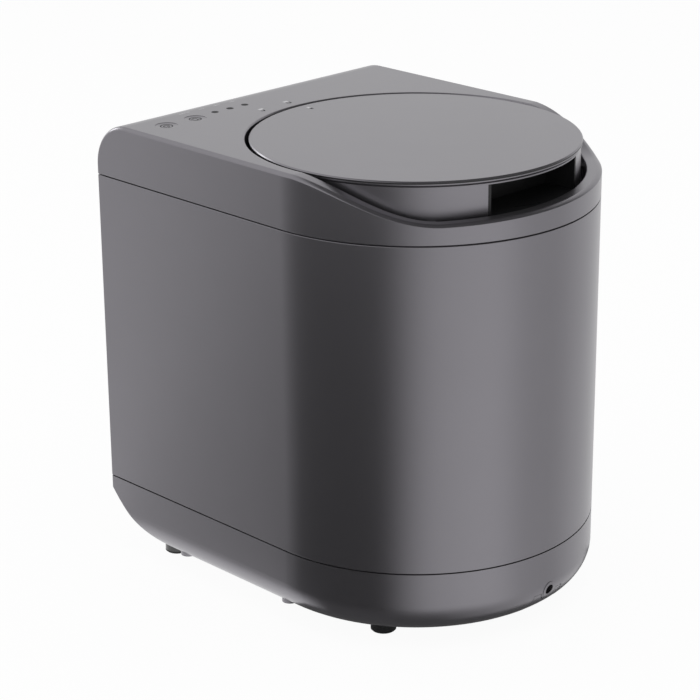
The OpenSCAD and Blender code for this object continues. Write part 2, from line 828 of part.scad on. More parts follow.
module gearbox_housing() {
  color("darkgray") difference() {
    union() {
      translate([0, 0, box_z]) linear_extrude(lid_z - box_z) box_plan(box_t);
      for (s = box_spots()) translate([s[0], s[1], box_z]) cylinder(d = boss_d, h = lid_z - box_z);
    }
    difference() {
      translate([0, 0, box_z + box_t]) linear_extrude(lid_z - box_z) box_plan(0);
      // bosses of the pin and the lower bearing
      translate([0, y_mid, box_z]) cylinder(d = pin_d + 8, h = g1_z - box_z - 1.2);
      at_lid() translate([0, 0, box_z]) cylinder(d = bearing_d + 5, h = box_t + bearing_h - 1);
    }
    translate([0, y_mid, box_z + 1.5]) cylinder(d = pin_d, h = 30);
    at_lid() translate([0, 0, box_z + 2]) cylinder(d = bearing_d, h = bearing_h + 10);
    for (s = box_spots()) translate([s[0], s[1], box_z - cut]) cylinder(d = screw_d + 2 * hole_c, h = lid_z);
  }
}

module gearbox_cover() {
  color("lightgray") difference() {
    union() {
      translate([0, 0, lid_z]) linear_extrude(box_t) box_plan(box_t);
      for (s = box_spots()) translate([s[0], s[1], lid_z]) cylinder(d = boss_d, h = box_t);
      at_lid() translate([0, 0, lid_z]) cylinder(d = bearing_d + 6, h = bearing_h + 2);
      translate([0, y_mid, lid_z]) cylinder(d = pin_d + 8, h = box_t + 3);
    }
    at_lid() {
      translate([0, 0, lid_z - cut]) cylinder(d = bearing_d, h = bearing_h + cut);
      cylinder(d = bearing_d - 6, h = body_h);
    }
    translate([0, y_mid, lid_z - cut]) cylinder(d = pin_d, h = box_t + cut + 1);
    translate([0, y_mot, lid_z - cut]) cylinder(r = module_1 * (pinion_n + 2) / 2 + 2, h = 20);
    for (s = box_spots()) translate([s[0], s[1], lid_z - cut]) cylinder(d = screw_d + 2 * hole_c, h = 20);
  }
}

module gearbox_screws() {
  color("silver") for (s = box_spots()) translate([s[0], s[1], lid_z + box_t]) mirror([0, 0, 1]) {
    translate([0, 0, -head_h]) cylinder(d = head_d, h = head_h);
    translate([0, 0, -cut]) cylinder(d = screw_d, h = lid_z + box_t - box_z + cut + box_screw_in);
  }
}

module bearing() {
  difference() {
    cylinder(d = bearing_d, h = bearing_h);
    translate([0, 0, -cut]) cylinder(r = shaft_d / 2 + run_c, h = bearing_h + 2 * cut);
    // groove between the races
    for (z = [-cut, bearing_h - 1]) translate([0, 0, z]) ring(shaft_d / 2 + 2, bearing_d / 2 - 2, 1 + cut);
  }
}

module shaft_bearings() {
  color("silver") at_lid() {
    translate([0, 0, box_z + 2]) bearing();
    translate([0, 0, lid_z]) bearing();
  }
}

module reduction_pin() {
  color("silver") translate([0, y_mid, box_z + 1.5]) cylinder(d = pin_d, h = lid_z + box_t + 1 - box_z - 1.5);
}

module drive_motor() {
  z = lid_z + box_t;
  color("dimgray") translate([0, y_mot, z]) difference() {
    union() {
      cylinder(r = motor_r, h = motor_h - 6);
      translate([0, 0, motor_h - 6]) cylinder(r = motor_r - 4, h = 6);
    }
    translate([0, 0, -cut]) cylinder(d = 9, h = motor_h - 12);
    // cooling slots in the can
    for (k = [0:5]) rotate([0, 0, 60 * k + 30]) translate([motor_r - 3, -4, 10]) cube([5, 8, motor_h - 26]);
  }
}

module drive_pinion() {
  color("khaki") translate([0, y_mot, 0]) {
    translate([0, 0, g1_z]) linear_extrude(gear_t) gear_outline(module_1, pinion_n, 90);
    translate([0, 0, g1_z - 2]) cylinder(d = 6, h = lid_z + box_t + motor_h - 14 - g1_z + 2);
  }
}

module reduction_gear() {
  color("tan") translate([0, y_mid, 0]) difference() {
    union() {
      translate([0, 0, g1_z]) linear_extrude(gear_t) gear_outline(module_1, wheel_n, -90 + 180 / wheel_n);
      translate([0, 0, g1_z]) cylinder(d = pin_d + 8, h = gear_t + 2);
      translate([0, 0, g2_z]) linear_extrude(gear_t + 1) gear_outline(module_2, pinion_n, 90);
    }
    translate([0, 0, g1_z - cut]) cylinder(r = pin_d / 2 + run_c, h = 30);
    translate([0, 0, g1_z + gear_t - 3]) ring(pin_d / 2 + 7, module_1 * wheel_n / 2 - 6, 4);
  }
}

module output_gear() {
  color("tan") at_lid() difference() {
    union() {
      translate([0, 0, g2_z]) linear_extrude(gear_t) gear_outline(module_2, wheel_n, -90 + 180 / wheel_n);
      translate([0, 0, g2_z - 3]) cylinder(d = hub_d, h = gear_t + 5);
    }
    translate([0, 0, g2_z - 10]) cylinder(d = shaft_d, h = 40);
    for (k = [0:5]) rotate([0, 0, 60 * k]) translate([module_2 * wheel_n / 4 + 4, 0, g2_z - cut])
      cylinder(d = 16, h = 20);
  }
}

module drive_shaft() {
  z = box_z + 2;
  t = well_z + well_floor + 1;
  color("silver") at_lid() {
    translate([0, 0, z]) cylinder(d = shaft_d, h = t - z);
    translate([-(shaft_d + 2) / 2, -tongue_w / 2, t]) cube([shaft_d + 2, tongue_w, tongue_h]);
    translate([0, 0, t - 0.5]) cylinder(d = shaft_d + 4, h = 0.5);
  }
}

// ---- air path ----

module filter_case() {
  w = case_in_w / 2 + case_t;
  color("darkgray") difference() {
    translate([-w, case_front, case_bot - case_t])
      cube([2 * w, case_back - case_front, case_top - case_bot + 2 * case_t]);
    translate([-w + case_t, case_front - cut, case_bot])
      cube([2 * w - 2 * case_t, case_back - case_front - case_t + cut, case_top - case_bot]);
    translate([0, fan_y, case_top - cut]) cylinder(r = fan_r + 1, h = 10);
  }
}

module fan_frame() {
  color("black") translate([0, fan_y, fan_z]) difference() {
    union() {
      linear_extrude(fan_h) difference() {
        square(fan_w, center = true);
        circle(r = fan_r + 1);
      }
      // struts and the seat of the impeller's pin
      linear_extrude(fan_strut) difference() {
        union() {
          circle(r = 12);
          for (a = [45, 135]) rotate([0, 0, a]) square([2 * fan_r + 6, 4], center = true);
        }
        circle(r = 1.5 + run_c);
      }
    }
    for (x = [-1, 1], y = [-1, 1]) translate([x * (fan_w / 2 - 5), y * (fan_w / 2 - 5), -cut])
      cylinder(d = 4, h = fan_h + 2 * cut);
  }
}

module fan_impeller() {
  color("white") translate([0, fan_y, fan_z + 4]) {
    cylinder(r = 13, h = fan_h - 6);
    translate([0, 0, -4]) cylinder(r = 1.5, h = 5);
    intersection() {
      for (k = [0:fan_n - 1]) rotate([0, 0, 360 * k / fan_n]) translate([fan_r / 2 + 4, 0, (fan_h - 6) / 2])
        rotate([40, 0, 0]) cube([fan_r - 8, 1.6, fan_h * 0.9], center = true);
      translate([0, 0, 0.5]) cylinder(r = fan_r - 1, h = fan_h - 7);
    }
  }
}

module exhaust_duct() {
  z = fan_z + fan_h;
  y0 = fan_y - duct_l / 2;
  y1 = fan_y + duct_l / 2;
  color("gray") difference() {
    union() {
      translate([-fan_w / 2, fan_y - fan_w / 2, z]) cube([fan_w, fan_w, 2]);
      translate([-duct_w / 2, y0, z]) cube([duct_w, duct_l, duct_top - z]);
      translate([-duct_w / 2, y0, duct_top - port_h - 2 * duct_t])
        cube([duct_w, yc - neck_r + 3 - y0, port_h + 2 * duct_t]);
    }
    translate([-duct_w / 2 + duct_t, y0 + duct_t, z - cut])
      cube([duct_w - 2 * duct_t, duct_l - 2 * duct_t, duct_top - duct_t - z + cut]);
    translate([-port_w / 2, y0 + duct_t, duct_top - duct_t - port_h]) cube([port_w, depth, port_h]);
    at_lid() cylinder(r = neck_r + well_t, h = body_h);
  }
}

module filter_tray() {
  w = tray_w / 2;
  z = case_bot + drawer_clear;
  color("dimgray") difference() {
    translate([-w, case_front, z]) cube([tray_w, case_back - case_t - 1 - case_front, tray_h]);
    translate([-w + tray_t, case_front + tray_t, z + tray_t])
      cube([tray_w - 2 * tray_t, case_back - case_t - 1 - case_front - 2 * tray_t, tray_h]);
    // window behind the louvres, notch for the finger slot's cup
    translate([-w + 8, case_front - cut, z + 6]) cube([tray_w - 16, tray_t + 2 * cut, slot_z - 4 - z - 6]);
    translate([-slot_w / 2 - 2.2, case_front - cut, slot_z - 2.2])
      cube([slot_w + 4.4, tray_t + 2 * cut, tray_h]);
  }
}

function louvre_z(k) = drawer_z + 12 + 6 * k;
slot_h = 14;
slot_z = drawer_z + drawer_h - 8 - slot_h;
slot_d = 16;

module drawer_front() {
  g = drawer_gap;
  color("gray") difference() {
    union() {
      translate([-drawer_w / 2 + g, yf, drawer_z + g]) cube([drawer_w - 2 * g, wall, drawer_h - 2 * g]);
      // cup behind the finger slot
      translate([-slot_w / 2 - 2, case_front, slot_z - 2]) cube([slot_w + 4, slot_d, slot_h + 4]);
    }
    translate([-slot_w / 2, yf - cut, slot_z]) cube([slot_w, slot_d + wall - 2 + cut, slot_h]);
    for (k = [0:6]) translate([-slot_w / 2 - 10, yf - cut, louvre_z(k)])
      cube([slot_w + 20, wall + 2 * cut, 3]);
  }
}

module carbon_cartridge() {
  z = case_bot + drawer_clear + tray_t;
  y0 = case_front + slot_d + 3;
  y1 = case_back - case_t - 1 - tray_t;
  w = tray_w - 2 * tray_t - 1;
  h = tray_h - 12;
  color("black") difference() {
    translate([-w / 2, y0, z]) cube([w, y1 - y0 - 0.5, h]);
    // grid of wells over the charcoal
    for (x = [-3:3], y = [0:2]) translate([x * 13 - 4.5, y0 + 5 + y * (y1 - y0 - 8) / 3, z + h - 2])
      cube([9, (y1 - y0 - 8) / 3 - 4, 3]);
  }
}

module filter_seal() {
  z = case_bot + drawer_clear + tray_h;
  y1 = case_back - case_t - 1;
  w = tray_w / 2;
  color("black") difference() {
    translate([-w, case_front + slot_d + 2, z]) cube([tray_w, y1 - case_front - slot_d - 2, 1.5]);
    translate([-w + tray_t, case_front + slot_d + 2 + tray_t, z - cut])
      cube([tray_w - 2 * tray_t, y1 - case_front - slot_d - 2 - 2 * tray_t, 5]);
  }
}

// ---- controls ----

board_x0 = led_x - 12;
board_x1 = key_x1 + 10;
board_y0 = yf + key_y - 14;
board_gap = 3.9;
board_y1 = yc - opening_r - wall - board_gap;

function board_spots() = [
  [board_x0 + 4, board_y1 - 4], [board_x1 - 14, board_y1 - 4], [(key_x1 + key_x2) / 2, board_y0 + 5]
];

module control_board() {
  color("darkgreen") difference() {
    union() {
      translate([board_x0, board_y0, board_z]) cube([board_x1 - board_x0, board_y1 - board_y0, board_t]);
      for (x = [key_x1, key_x2]) translate([x - 3, yf + key_y - 3, board_z])
        cube([6, 6, board_t + switch_h]);
      for (k = [0:2]) translate([led_x + k * led_pitch - 1.5, yf + led_y - 1.5, board_z])
        cube([3, 3, board_t + 1]);
    }
    for (s = board_spots()) translate([s[0], s[1], board_z - cut]) cylinder(d = screw_d, h = board_t + 2 * cut);
  }
}

module board_screws() {
  color("silver") for (s = board_spots()) translate([s[0], s[1], board_z - 1.8]) {
    cylinder(d = head_d - 1, h = 1.8);
    cylinder(d = screw_d - 0.5, h = board_screw_l);
  }
}

module indicator_lenses() {
  z = board_z + board_t + 1;
  color("black") for (k = [0:2]) translate([led_x + k * led_pitch, yf + led_y, z]) {
    cylinder(r = led_r, h = body_h - z);
    translate([0, 0, body_h - wall - 1.2 - z]) cylinder(r = led_r + 1, h = 1.2);
  }
}

// round key with a shallow dish, a flange under the panel and a stem
module key(x) {
  ball = 60;
  dish = 0.8;
  stem_z = board_z + board_t + switch_h + key_travel + 0.3;
  translate([x, yf + key_y, 0]) difference() {
    union() {
      translate([0, 0, body_h - 5.5]) cylinder(r = key_r, h = 5.5);
      translate([0, 0, body_h - 5.5]) cylinder(r = key_r + 1.6, h = 5.2 - wall);
      translate([0, 0, stem_z]) cylinder(r = 2, h = body_h - 5 - stem_z);
    }
    translate([0, 0, body_h - dish + ball]) sphere(r = ball, $fn = 180);
  }
}

module power_key() {
  color("gray") key(key_x1);
}

module mode_key() {
  color("gray") key(key_x2);
}

pcb_x = R - 43;
pcb_y = yc - 68;
pcb_w = 54;
pcb_l = 76;
pcb_up = 9;

module board_posts(d) {
  for (x = [-1, 1], y = [-1, 1]) translate([pcb_x + x * (pcb_w / 2 - 6), pcb_y + y * (pcb_l / 2 - 6), z0])
    cylinder(d = d - 2, h = wall + pcb_up);
}

coil = [26, 30, 24];
relay = [18, 20, 15];
cap_d = 12;
cap_h = 20;

module power_board() {
  z = z0 + wall + pcb_up;
  color("darkgreen") translate([pcb_x, pcb_y, z]) {
    translate([-pcb_w / 2, -pcb_l / 2, 0]) cube([pcb_w, pcb_l, board_t]);
    translate([6 - coil[0], -coil[1], 0]) cube(coil);
    translate([15, -20, 0]) cylinder(d = cap_d, h = cap_h);
    translate([-14, 18, 0]) cylinder(d = cap_d + 2, h = cap_h - 2);
    translate([20 - relay[0], 30 - relay[1], 0]) cube(relay);
  }
}

// ---- lid ----

module lid_inner_plate() {
  r = neck_r + deck_w - 10;
  color("lightgray") at_lid() difference() {
    union() {
      translate([0, 0, inner_z]) cylinder(r = r, h = inner_t);
      translate([0, 0, inner_z - 1.5]) ring(neck_r - 8, neck_r - 5, 1.6);
    }
    translate([0, 0, inner_z - cut]) cylinder(d = pivot_d - 3, h = inner_t + 2 * cut);
  }
}

module lid_gasket() {
  r = neck_r + 1.5;
  color("black") at_lid() translate([0, 0, deck_z + 0.2]) {
    ring(r, r + 4, gasket_h - 0.2);
    translate([0, 0, gasket_h - 1.2]) ring(r - 1, r + 5, 1);
  }
}

module lid_pivot() {
  color("silver") at_lid() {
    translate([0, 0, inner_z + inner_t]) cylinder(d = pivot_d, h = swivel_c + lid_base_t + 4.4);
    translate([0, 0, inner_z - 1.5]) cylinder(d = pivot_d - 3, h = inner_t + 2.5);
    translate([0, 0, inner_z - 2.5]) cylinder(d = pivot_d + 2, h = 2.5);
    translate([0, 0, lid_bot + lid_base_t + 4.3]) cylinder(d = pivot_d + 6, h = 1.5);
  }
}

module lid_plate() {
  color("slategray") at_lid() difference() {
    union() {
      translate([0, 0, plate_z]) cylinder(r = lid_r, h = plate_t - plate_c);
      translate([0, 0, body_h - plate_c]) cylinder(r1 = lid_r, r2 = lid_r - plate_c, h = plate_c);
    }
    // dash that points at the lock marks
    translate([-dash_w / 2, -lid_r + dash_in, body_h - 0.3]) cube([dash_w, dash_l, 1]);
  }
}

function lid_posts() = [30, 150, 222, 318];

module lid_drum() {
  rt = lid_r - 0.2;
  color("gray") at_lid() difference() {
    union() {
      difference() {
        rotate_extrude() polygon([
          [0, plate_z], [0, plate_z - drum_top_t], [drum_r - drum_t, plate_z - drum_top_t],
          [drum_r - drum_t, lid_bot], [drum_r, lid_bot], [drum_r, plate_z - 2.4],
          [rt, plate_z - 0.8], [rt, plate_z]
        ]);
        // window of the finger pocket
        translate([pocket_x - pocket_hw, pocket_y - yc, lid_bot - cut])
          cube([2 * pocket_hw, 2 * R, pocket_top - lid_bot + cut]);
      }
      for (a = lug_at) rotate([0, 0, a - lug_deg / 2]) translate([0, 0, lid_bot + 1.6])
        rotate_extrude(angle = lug_deg) translate([drum_r - 1, 0]) square([lug_out - drum_r + 1, lug_h]);
      for (a = lid_posts()) rotate([0, 0, a]) translate([lid_post_r(), 0, lid_bot + lid_base_t])
        cylinder(d = 8, h = plate_z - drum_top_t / 2 - lid_bot - lid_base_t);
    }
    for (a = lid_posts()) rotate([0, 0, a]) translate([lid_post_r(), 0, lid_bot])
      cylinder(d = screw_d - 0.4, h = lid_screw_l + 1);
  }
}

function lid_post_r() = drum_r - 34;

module pocket_liner() {
  c = 0.15;
  w = pocket_hw - c;
  y = pocket_y - yc;
  top = plate_z - drum_top_t - 0.1;
  color("black") at_lid() difference() {
    intersection() {
      translate([pocket_x - w, y + c, lid_bot + lid_base_t])
        cube([2 * w, 2 * R, top - lid_bot - lid_base_t]);
      cylinder(r = drum_r - 0.1, h = body_h);
    }
    translate([pocket_x - w + liner_t, y + c + liner_t, pocket_floor])
      cube([2 * w - 2 * liner_t, 2 * R, body_h]);
    // clears the drum's band over the window
    difference() {
      translate([-2 * w, y, pocket_top - 0.15]) cube([4 * w, 2 * R, 20]);
      cylinder(r = drum_r - drum_t - 0.15, h = body_h);
    }
  }
}

module lid_base_plate() {
  color("lightgray") at_lid() difference() {
    union() {
      translate([0, 0, lid_bot]) cylinder(r = drum_r - drum_t - 0.1, h = lid_base_t);
      translate([0, 0, lid_bot]) cylinder(d = pivot_d + 8, h = lid_base_t + 4);
    }
    translate([0, 0, lid_bot - cut]) cylinder(r = pivot_d / 2 + run_c, h = 20);
    for (a = lid_posts()) rotate([0, 0, a]) translate([lid_post_r(), 0, lid_bot - cut]) {
      cylinder(d = screw_d + 2 * hole_c, h = 10);
      cylinder(d1 = head_d + 1.2, d2 = screw_d, h = 2.2);
    }
  }
}

module lid_screws() {
  color("silver") at_lid() for (a = lid_posts()) rotate([0, 0, a]) translate([lid_post_r(), 0, lid_bot]) {
    cylinder(d1 = head_d - 1, d2 = screw_d - 0.4, h = 1.2);
    cylinder(d = screw_d - 0.4, h = lid_screw_l);
  }
}

base();
cord_bush();
cord_clamp_cover();
feet();
foot_pads();
base_screws();
main_shell();
top_cover();
cover_screws();
heating_well();
well_screws();
heater_band();
well_thermostat();
insulation_jacket();
shaft_seal();
gearbox_housing();
gearbox_cover();
gearbox_screws();
shaft_bearings();
reduction_pin();
drive_motor();
drive_pinion();
reduction_gear();
output_gear();
drive_shaft();
filter_case();
fan_frame();
fan_impeller();
exhaust_duct();
filter_tray();
drawer_front();
carbon_cartridge();
filter_seal();
control_board();
board_screws();
indicator_lenses();
power_key();
mode_key();
power_board();
bucket();
shaft_bush();
fixed_blades();
mixing_rotor();
rotor_dog();
lid_inner_plate();
lid_gasket();
lid_pivot();
lid_plate();
lid_drum();
pocket_liner();
lid_base_plate();
lid_screws();
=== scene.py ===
import json
import math

import bmesh
import bpy
from mathutils import Matrix, Vector
from mathutils.geometry import delaunay_2d_cdt


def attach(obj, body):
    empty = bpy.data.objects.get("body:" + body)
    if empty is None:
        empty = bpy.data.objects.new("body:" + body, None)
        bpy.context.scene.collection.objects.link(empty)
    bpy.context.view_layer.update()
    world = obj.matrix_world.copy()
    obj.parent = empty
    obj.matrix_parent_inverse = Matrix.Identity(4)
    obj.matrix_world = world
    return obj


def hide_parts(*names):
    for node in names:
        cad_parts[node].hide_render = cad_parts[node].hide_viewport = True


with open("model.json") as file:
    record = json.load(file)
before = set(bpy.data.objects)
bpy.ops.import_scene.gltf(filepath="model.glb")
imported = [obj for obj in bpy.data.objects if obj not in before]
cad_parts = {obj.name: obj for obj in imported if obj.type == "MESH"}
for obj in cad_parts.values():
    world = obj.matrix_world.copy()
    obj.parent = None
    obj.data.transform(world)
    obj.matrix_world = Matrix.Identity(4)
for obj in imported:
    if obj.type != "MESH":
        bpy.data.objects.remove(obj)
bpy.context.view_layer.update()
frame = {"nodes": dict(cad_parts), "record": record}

MM = 0.001
NODES = frame["nodes"]


# ---- materials ----

BROAD_SCALE, BROAD_DETAIL = 18.0, 4.0  # slow drift of the colour
FINE_DETAIL = 2.0  # grain; its scale is each material's own
NOISE_ROUGHNESS = 0.55
SPOT_SHARE = 0.35
BUMP_STRENGTH = 0.5


def new_mat(name):
    """Material with its output and one Principled shader, linked."""
    mat = bpy.data.materials.new(name)
    mat.use_nodes = True
    nt = mat.node_tree
    nt.nodes.clear()
    out = nt.nodes.new("ShaderNodeOutputMaterial")
    bsdf = nt.nodes.new("ShaderNodeBsdfPrincipled")
    nt.links.new(bsdf.outputs["BSDF"], out.inputs["Surface"])
    return mat, nt, bsdf


def add(nt, kind, **values):
    """New node with its properties set."""
    node = nt.nodes.new(kind)
    for k, v in values.items():
        setattr(node, k, v)
    return node


def noise(nt, coords, scale, detail, stretch=None):
    if stretch:
        mapping = add(nt, "ShaderNodeMapping")
        mapping.inputs["Scale"].default_value = stretch
        nt.links.new(coords, mapping.inputs["Vector"])
        coords = mapping.outputs["Vector"]
    n = add(nt, "ShaderNodeTexNoise")
    n.inputs["Scale"].default_value = scale
    n.inputs["Detail"].default_value = detail
    n.inputs["Roughness"].default_value = NOISE_ROUGHNESS
    nt.links.new(coords, n.inputs["Vector"])
    return n.outputs["Fac"]


def ramp(nt, fac, low, high):
    r = add(nt, "ShaderNodeMapRange")
    r.inputs["To Min"].default_value = low
    r.inputs["To Max"].default_value = high
    nt.links.new(fac, r.inputs["Value"])
    return r.outputs["Result"]


def colour_mix(nt, fac, a, b):
    m = add(nt, "ShaderNodeMix", data_type="RGBA")
    m.inputs["A"].default_value = (*a, 1)
    m.inputs["B"].default_value = (*b, 1)
    nt.links.new(fac, m.inputs["Factor"])
    return m.outputs["Result"]


def material(name, colour, vary, rough, rough_vary, metallic, grain, bump,
             specular=0.5, stretch=None, spots=None):
    """Drifting colour, grain in roughness and bump, and where given, spots of a second colour."""
    mat, nt, bsdf = new_mat(name)
    co = add(nt, "ShaderNodeTexCoord").outputs["Object"]
    broad = noise(nt, co, BROAD_SCALE, BROAD_DETAIL)
    fine = noise(nt, co, grain, FINE_DETAIL, stretch)
    dark = [c * (1 - vary) for c in colour]
    light = [min(1.0, c * (1 + vary)) for c in colour]
    col = colour_mix(nt, broad, dark, light)
    if spots:
        m = add(nt, "ShaderNodeMix", data_type="RGBA")
        m.inputs["B"].default_value = (*spots, 1)
        nt.links.new(col, m.inputs["A"])
        nt.links.new(ramp(nt, fine, 0.0, SPOT_SHARE), m.inputs["Factor"])
        col = m.outputs["Result"]
    nt.links.new(col, bsdf.inputs["Base Color"])
    nt.links.new(ramp(nt, fine, rough - rough_vary, rough + rough_vary), bsdf.inputs["Roughness"])
    bsdf.inputs["Metallic"].default_value = metallic
    bsdf.inputs["Specular IOR Level"].default_value = specular
    b = add(nt, "ShaderNodeBump")
    b.inputs["Strength"].default_value = BUMP_STRENGTH
    b.inputs["Distance"].default_value = bump * MM
    nt.links.new(fine, b.inputs["Height"])
    nt.links.new(b.outputs["Normal"], bsdf.inputs["Normal"])
    return mat


# colour and its drift, roughness and its spread, metallic, scale of the grain, its depth in mm
LOOKS = {
    "paint": ((0.226, 0.218, 0.237), 0.03, 0.30, 0.03, 0.9, 2600, 0.010),
    "black_plastic": ((0.012, 0.012, 0.013), 0.1, 0.5, 0.1, 0, 1500, 0.02),
    "grey_plastic": ((0.09, 0.09, 0.095), 0.05, 0.5, 0.08, 0, 1500, 0.02),
    "white_plastic": ((0.62, 0.62, 0.6), 0.04, 0.4, 0.06, 0, 1500, 0.01),
    "rubber": ((0.012, 0.012, 0.012), 0.12, 0.75, 0.08, 0, 1800, 0.03),
    "steel": ((0.55, 0.55, 0.54), 0.05, 0.3, 0.08, 1.0, 700, 0.01),
    "aluminium": ((0.5, 0.51, 0.52), 0.06, 0.42, 0.1, 1.0, 1200, 0.02),
    "coated": ((0.03, 0.03, 0.032), 0.1, 0.38, 0.08, 0.1, 1600, 0.02),
    "brass": ((0.6, 0.42, 0.16), 0.06, 0.32, 0.08, 1.0, 900, 0.01),
    "nylon": ((0.5, 0.44, 0.3), 0.06, 0.5, 0.08, 0, 1200, 0.02),
    "wool": ((0.6, 0.53, 0.38), 0.12, 0.95, 0.04, 0, 500, 0.5),
    "smoked": ((0.004, 0.004, 0.005), 0.1, 0.3, 0.03, 0, 400, 0.002),
    "board": ((0.01, 0.07, 0.03), 0.1, 0.35, 0.05, 0, 300, 0.02),
    "foot": ((0.012, 0.012, 0.013), 0.1, 0.16, 0.04, 0, 1500, 0.006),
    "print_dark": ((0.05, 0.05, 0.053), 0.05, 0.75, 0.05, 0, 1800, 0.004),
    "print_light": ((0.58, 0.575, 0.59), 0.04, 0.75, 0.05, 0, 1800, 0.004),
    "charcoal": ((0.008, 0.008, 0.008), 0.3, 0.9, 0.05, 0, 350, 0.9),
}
# what some of them have besides
MORE = {
    "steel": {"stretch": (1, 1, 12)},
    "coated": {"spots": (0.12, 0.12, 0.12)},
    "smoked": {"specular": 0.03},
    "foot": {"specular": 0.8},
    "print_dark": {"specular": 0.03},
    "print_light": {"specular": 0.1},
}
M = {name: material(name, *look, **MORE.get(name, {})) for name, look in LOOKS.items()}

# a node takes the material named as its slot, apart from these slots and these nodes
PAINTED_SLOTS = ("silver_panel", "dark_cover", "grey_shell")
NODE_LOOKS = {"base": "paint", "cord_clamp_cover": "paint", "cord_bush": "paint", "feet": "foot"}
for sub in frame["record"]["subparts"]:
    by_slot = "paint" if sub["material_slot"] in PAINTED_SLOTS else sub["material_slot"]
    materials = NODES[sub["node"]].data.materials
    materials.clear()
    materials.append(M[NODE_LOOKS.get(sub["node"], by_slot)])


# ---- geometry helpers, in millimetres in the object's frame ----

R, YC = 135.0, 33.5  # the round end: its radius, and its axis's y, which is the lid's too
YF, H = -168.5, 348.0  # y of the flat face, height of the top
Z_LO, Z_UP, GAP = 61.0, 306.5, 0.8  # heights of the two seams, and their width
WALL = 3.0
OPEN_R, LID_R = 123.5, 120.8  # the lid's opening, and the lid
NECK_R, DECK_Z, DECK_T = 106.0, 308.0, 3.0  # deck under the lid: its hole, its top, its thickness
FRONT_R = 34.0  # bend from the top down to the flat face
EDGE_A, EDGE_B, EDGE_N = 3.0, 2.6, 1.45  # soft edges: inset, drop, and exponent of the curve
EDGE_STEPS = 10
HALF = 180  # steps round half a turn
EASE = 0.45  # rounding beside the seams
KEYS = ((108.0, -116.9), (80.0, -116.9))  # x and y of the power key and the mode key
LEDS = ((27.5, -120.0), (42.6, -120.0), (57.7, -120.0))  # x and y of the indicator lenses
WELD, SHARP = 2e-6, 35  # points closer than this in m are joined; edges over this angle are sharp


def power(v, p):
    """Power that keeps the sign."""
    return math.copysign(abs(v) ** p, v)


def edge(a=EDGE_A, b=EDGE_B):
    """Soft chamfer from (0, b) on the side to (a, 0) on the face, as (inset, drop) pairs."""
    out = []
    for i in range(EDGE_STEPS + 1):
        t = math.radians(90.0 * i / EDGE_STEPS)
        out.append((a - a * power(math.cos(t), 2 / EDGE_N), b - b * power(math.sin(t), 2 / EDGE_N)))
    return out


# rounding beside a seam, from the seam's face to the wall, as (inset, rise) pairs
EASED = [(EASE * (1 - math.sin(t)), EASE * (1 - math.cos(t)))
         for t in (math.radians(v) for v in (0, 30, 60, 90))]


def arc(cx, cy, r, a0, a1, n):
    """The n + 1 points from angle a0 to a1, in degrees."""
    return [(cx + r * math.cos(t), cy + r * math.sin(t))
            for t in (math.radians(a0 + (a1 - a0) * i / n) for i in range(n + 1))]


def ring(cx, cy, r, n):
    return arc(cx, cy, r, 0.0, 360.0, n)[:-1]


def inside(x, y, loop):
    hit = False
    for (x1, y1), (x2, y2) in zip(loop, loop[1:] + loop[:1]):
        if (y1 > y) != (y2 > y) and x < (x2 - x1) * (y - y1) / (y2 - y1) + x1:
            hit = not hit
    return hit


def plan(inset):
    """Casing's outline from above, set in, counterclockwise from the right front corner."""
    r = R - inset
    a, b = max(EDGE_A - inset, 0.0), max(EDGE_B - inset, 0.0)
    corner = edge(a, b) if a > 0 and b > 0 else [(0.0, 0.0)] * (EDGE_STEPS + 1)
    pts = [(r - u, YF + inset + v) for u, v in reversed(corner)]
    pts += arc(0.0, YC, r, 0.0, 180.0, HALF)
    pts += [(-r + u, YF + inset + v) for u, v in corner]
    return pts


